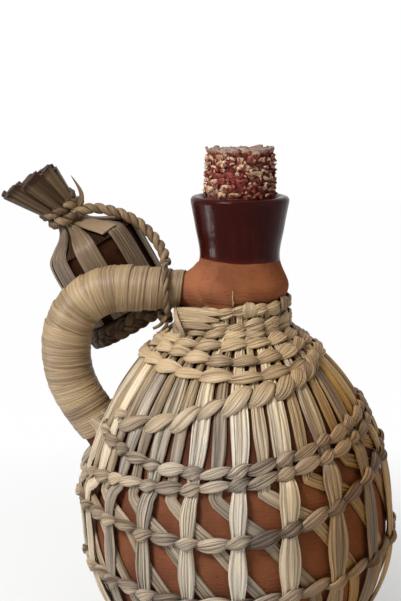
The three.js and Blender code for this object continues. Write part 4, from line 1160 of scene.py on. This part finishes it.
rng = Random("cord")
free_line = smooth_line(CORD_ROUTE, 150)
bm = fresh_mesh()
end_phase = rope(bm, free_line, CORD_R, CORD_PITCH, Vector((1, 0, 0)), rng)
cup_cord = set_down(bm, "twisted_cord", cord_rush, "cup", "rush_cord", "cup_cord", at=CUP_PLACE)
cord_path = [0.001 * (CUP_PLACE @ at) for at in free_line]
cord_length = sum((b - a).length for a, b in zip(cord_path, cord_path[1:]))
tuple(cord_path[0])
[tuple(at) for at in cord_path]

coil_line = [Vector((out, -COIL_R, COIL_FOOT)) for out in (1.9, -0.6)]
for i in range(round(COIL_TURNS * COIL_STEPS) + 1):
    turn = -pi / 2 - tau * i / COIL_STEPS
    z = COIL_FOOT + COIL_PITCH * i / COIL_STEPS
    off = COIL_OFF + COIL_LEAN * max(0, z - BINDING_Z)
    coil_line.append(Vector((off + COIL_R * cos(turn), COIL_R * sin(turn), z)))
coil_line += [coil_line[-1] + Vector((0.3, -1.5 * i, 0.2 * i)) for i in (1, 2, 3)]
bm = fresh_mesh()
rope(bm, coil_line, COIL_THICK * CORD_R, CORD_PITCH, UP, rng, end_phase)
set_down(bm, "stem_coil", cord_rush, "cup", "rush_cord", "stem_binding", at=CUP_PLACE)


# Loop on the handle: a thinner twist of the same leaf, one slanting turn round the winding, knotted
# underneath with two short tails. It can turn on the handle, and the cup turns with it.
TIE_R, TIE_TWIST, TIE_OUT, TIE_PITCH, TIE_LOOP_R, TIE_STEPS = 1.36, 11.0, 34, 4, 11.73, 72
KNOT = Vector((-TIE_OUT, 0, 147.8))
KNOT_W, KNOT_STEPS, TAIL_W, TAIL_STEPS = 2.3, 60, 1.9, 12
TAILS = [((-33, -1.5, 146.5), (-34.8, -7.2, 143.8)), ((-35, -1, 146), (-39.4, -3.4, 143.4))]
rng = Random("tie")
tie_line = []
for i in range(TIE_STEPS + 1):
    share = i / TIE_STEPS
    turn = tau * share - pi / 2
    rise = HANDLE_Z + TIE_LOOP_R * sin(turn)
    tie_line.append(Vector((TIE_PITCH * (share - 0.5) - TIE_OUT, TIE_LOOP_R * cos(turn), rise)))
bm = fresh_mesh()
rope(bm, tie_line, TIE_R, TIE_TWIST, Vector((1, 0, 0)), rng)
stations = []
for i in range(KNOT_STEPS):
    t = tau * i / KNOT_STEPS
    off = Vector((0.95 * (sin(t) + 2 * sin(2 * t)), 0.9 * (cos(t) - 2 * cos(2 * t)), -1.3 * sin(3 * t)))
    stations.append((KNOT + off, off.normalized(), KNOT_W))
leaf(bm, stations, 1.1, 0.4, ridges=2, groove=0.2, under=1.0, edge=2, top=8, bottom=6, hoop=True)
for start, end in TAILS:
    middle = Vector(start).lerp(Vector(end), 0.5) + Vector((0.6, -0.6, 0))
    tail = smooth_line([start, middle, end], TAIL_STEPS)
    stations = [(at, -ACROSS, TAIL_W - 0.5 * i / TAIL_STEPS) for i, at in enumerate(tail)]
    leaf(bm, stations, 0.7, 0.5, ridges=2, groove=0.2, under=0.8, edge=2, top=6)
set_down(bm, "handle_loop", cord_rush, "cup", "rush_cord", "handle_tie")
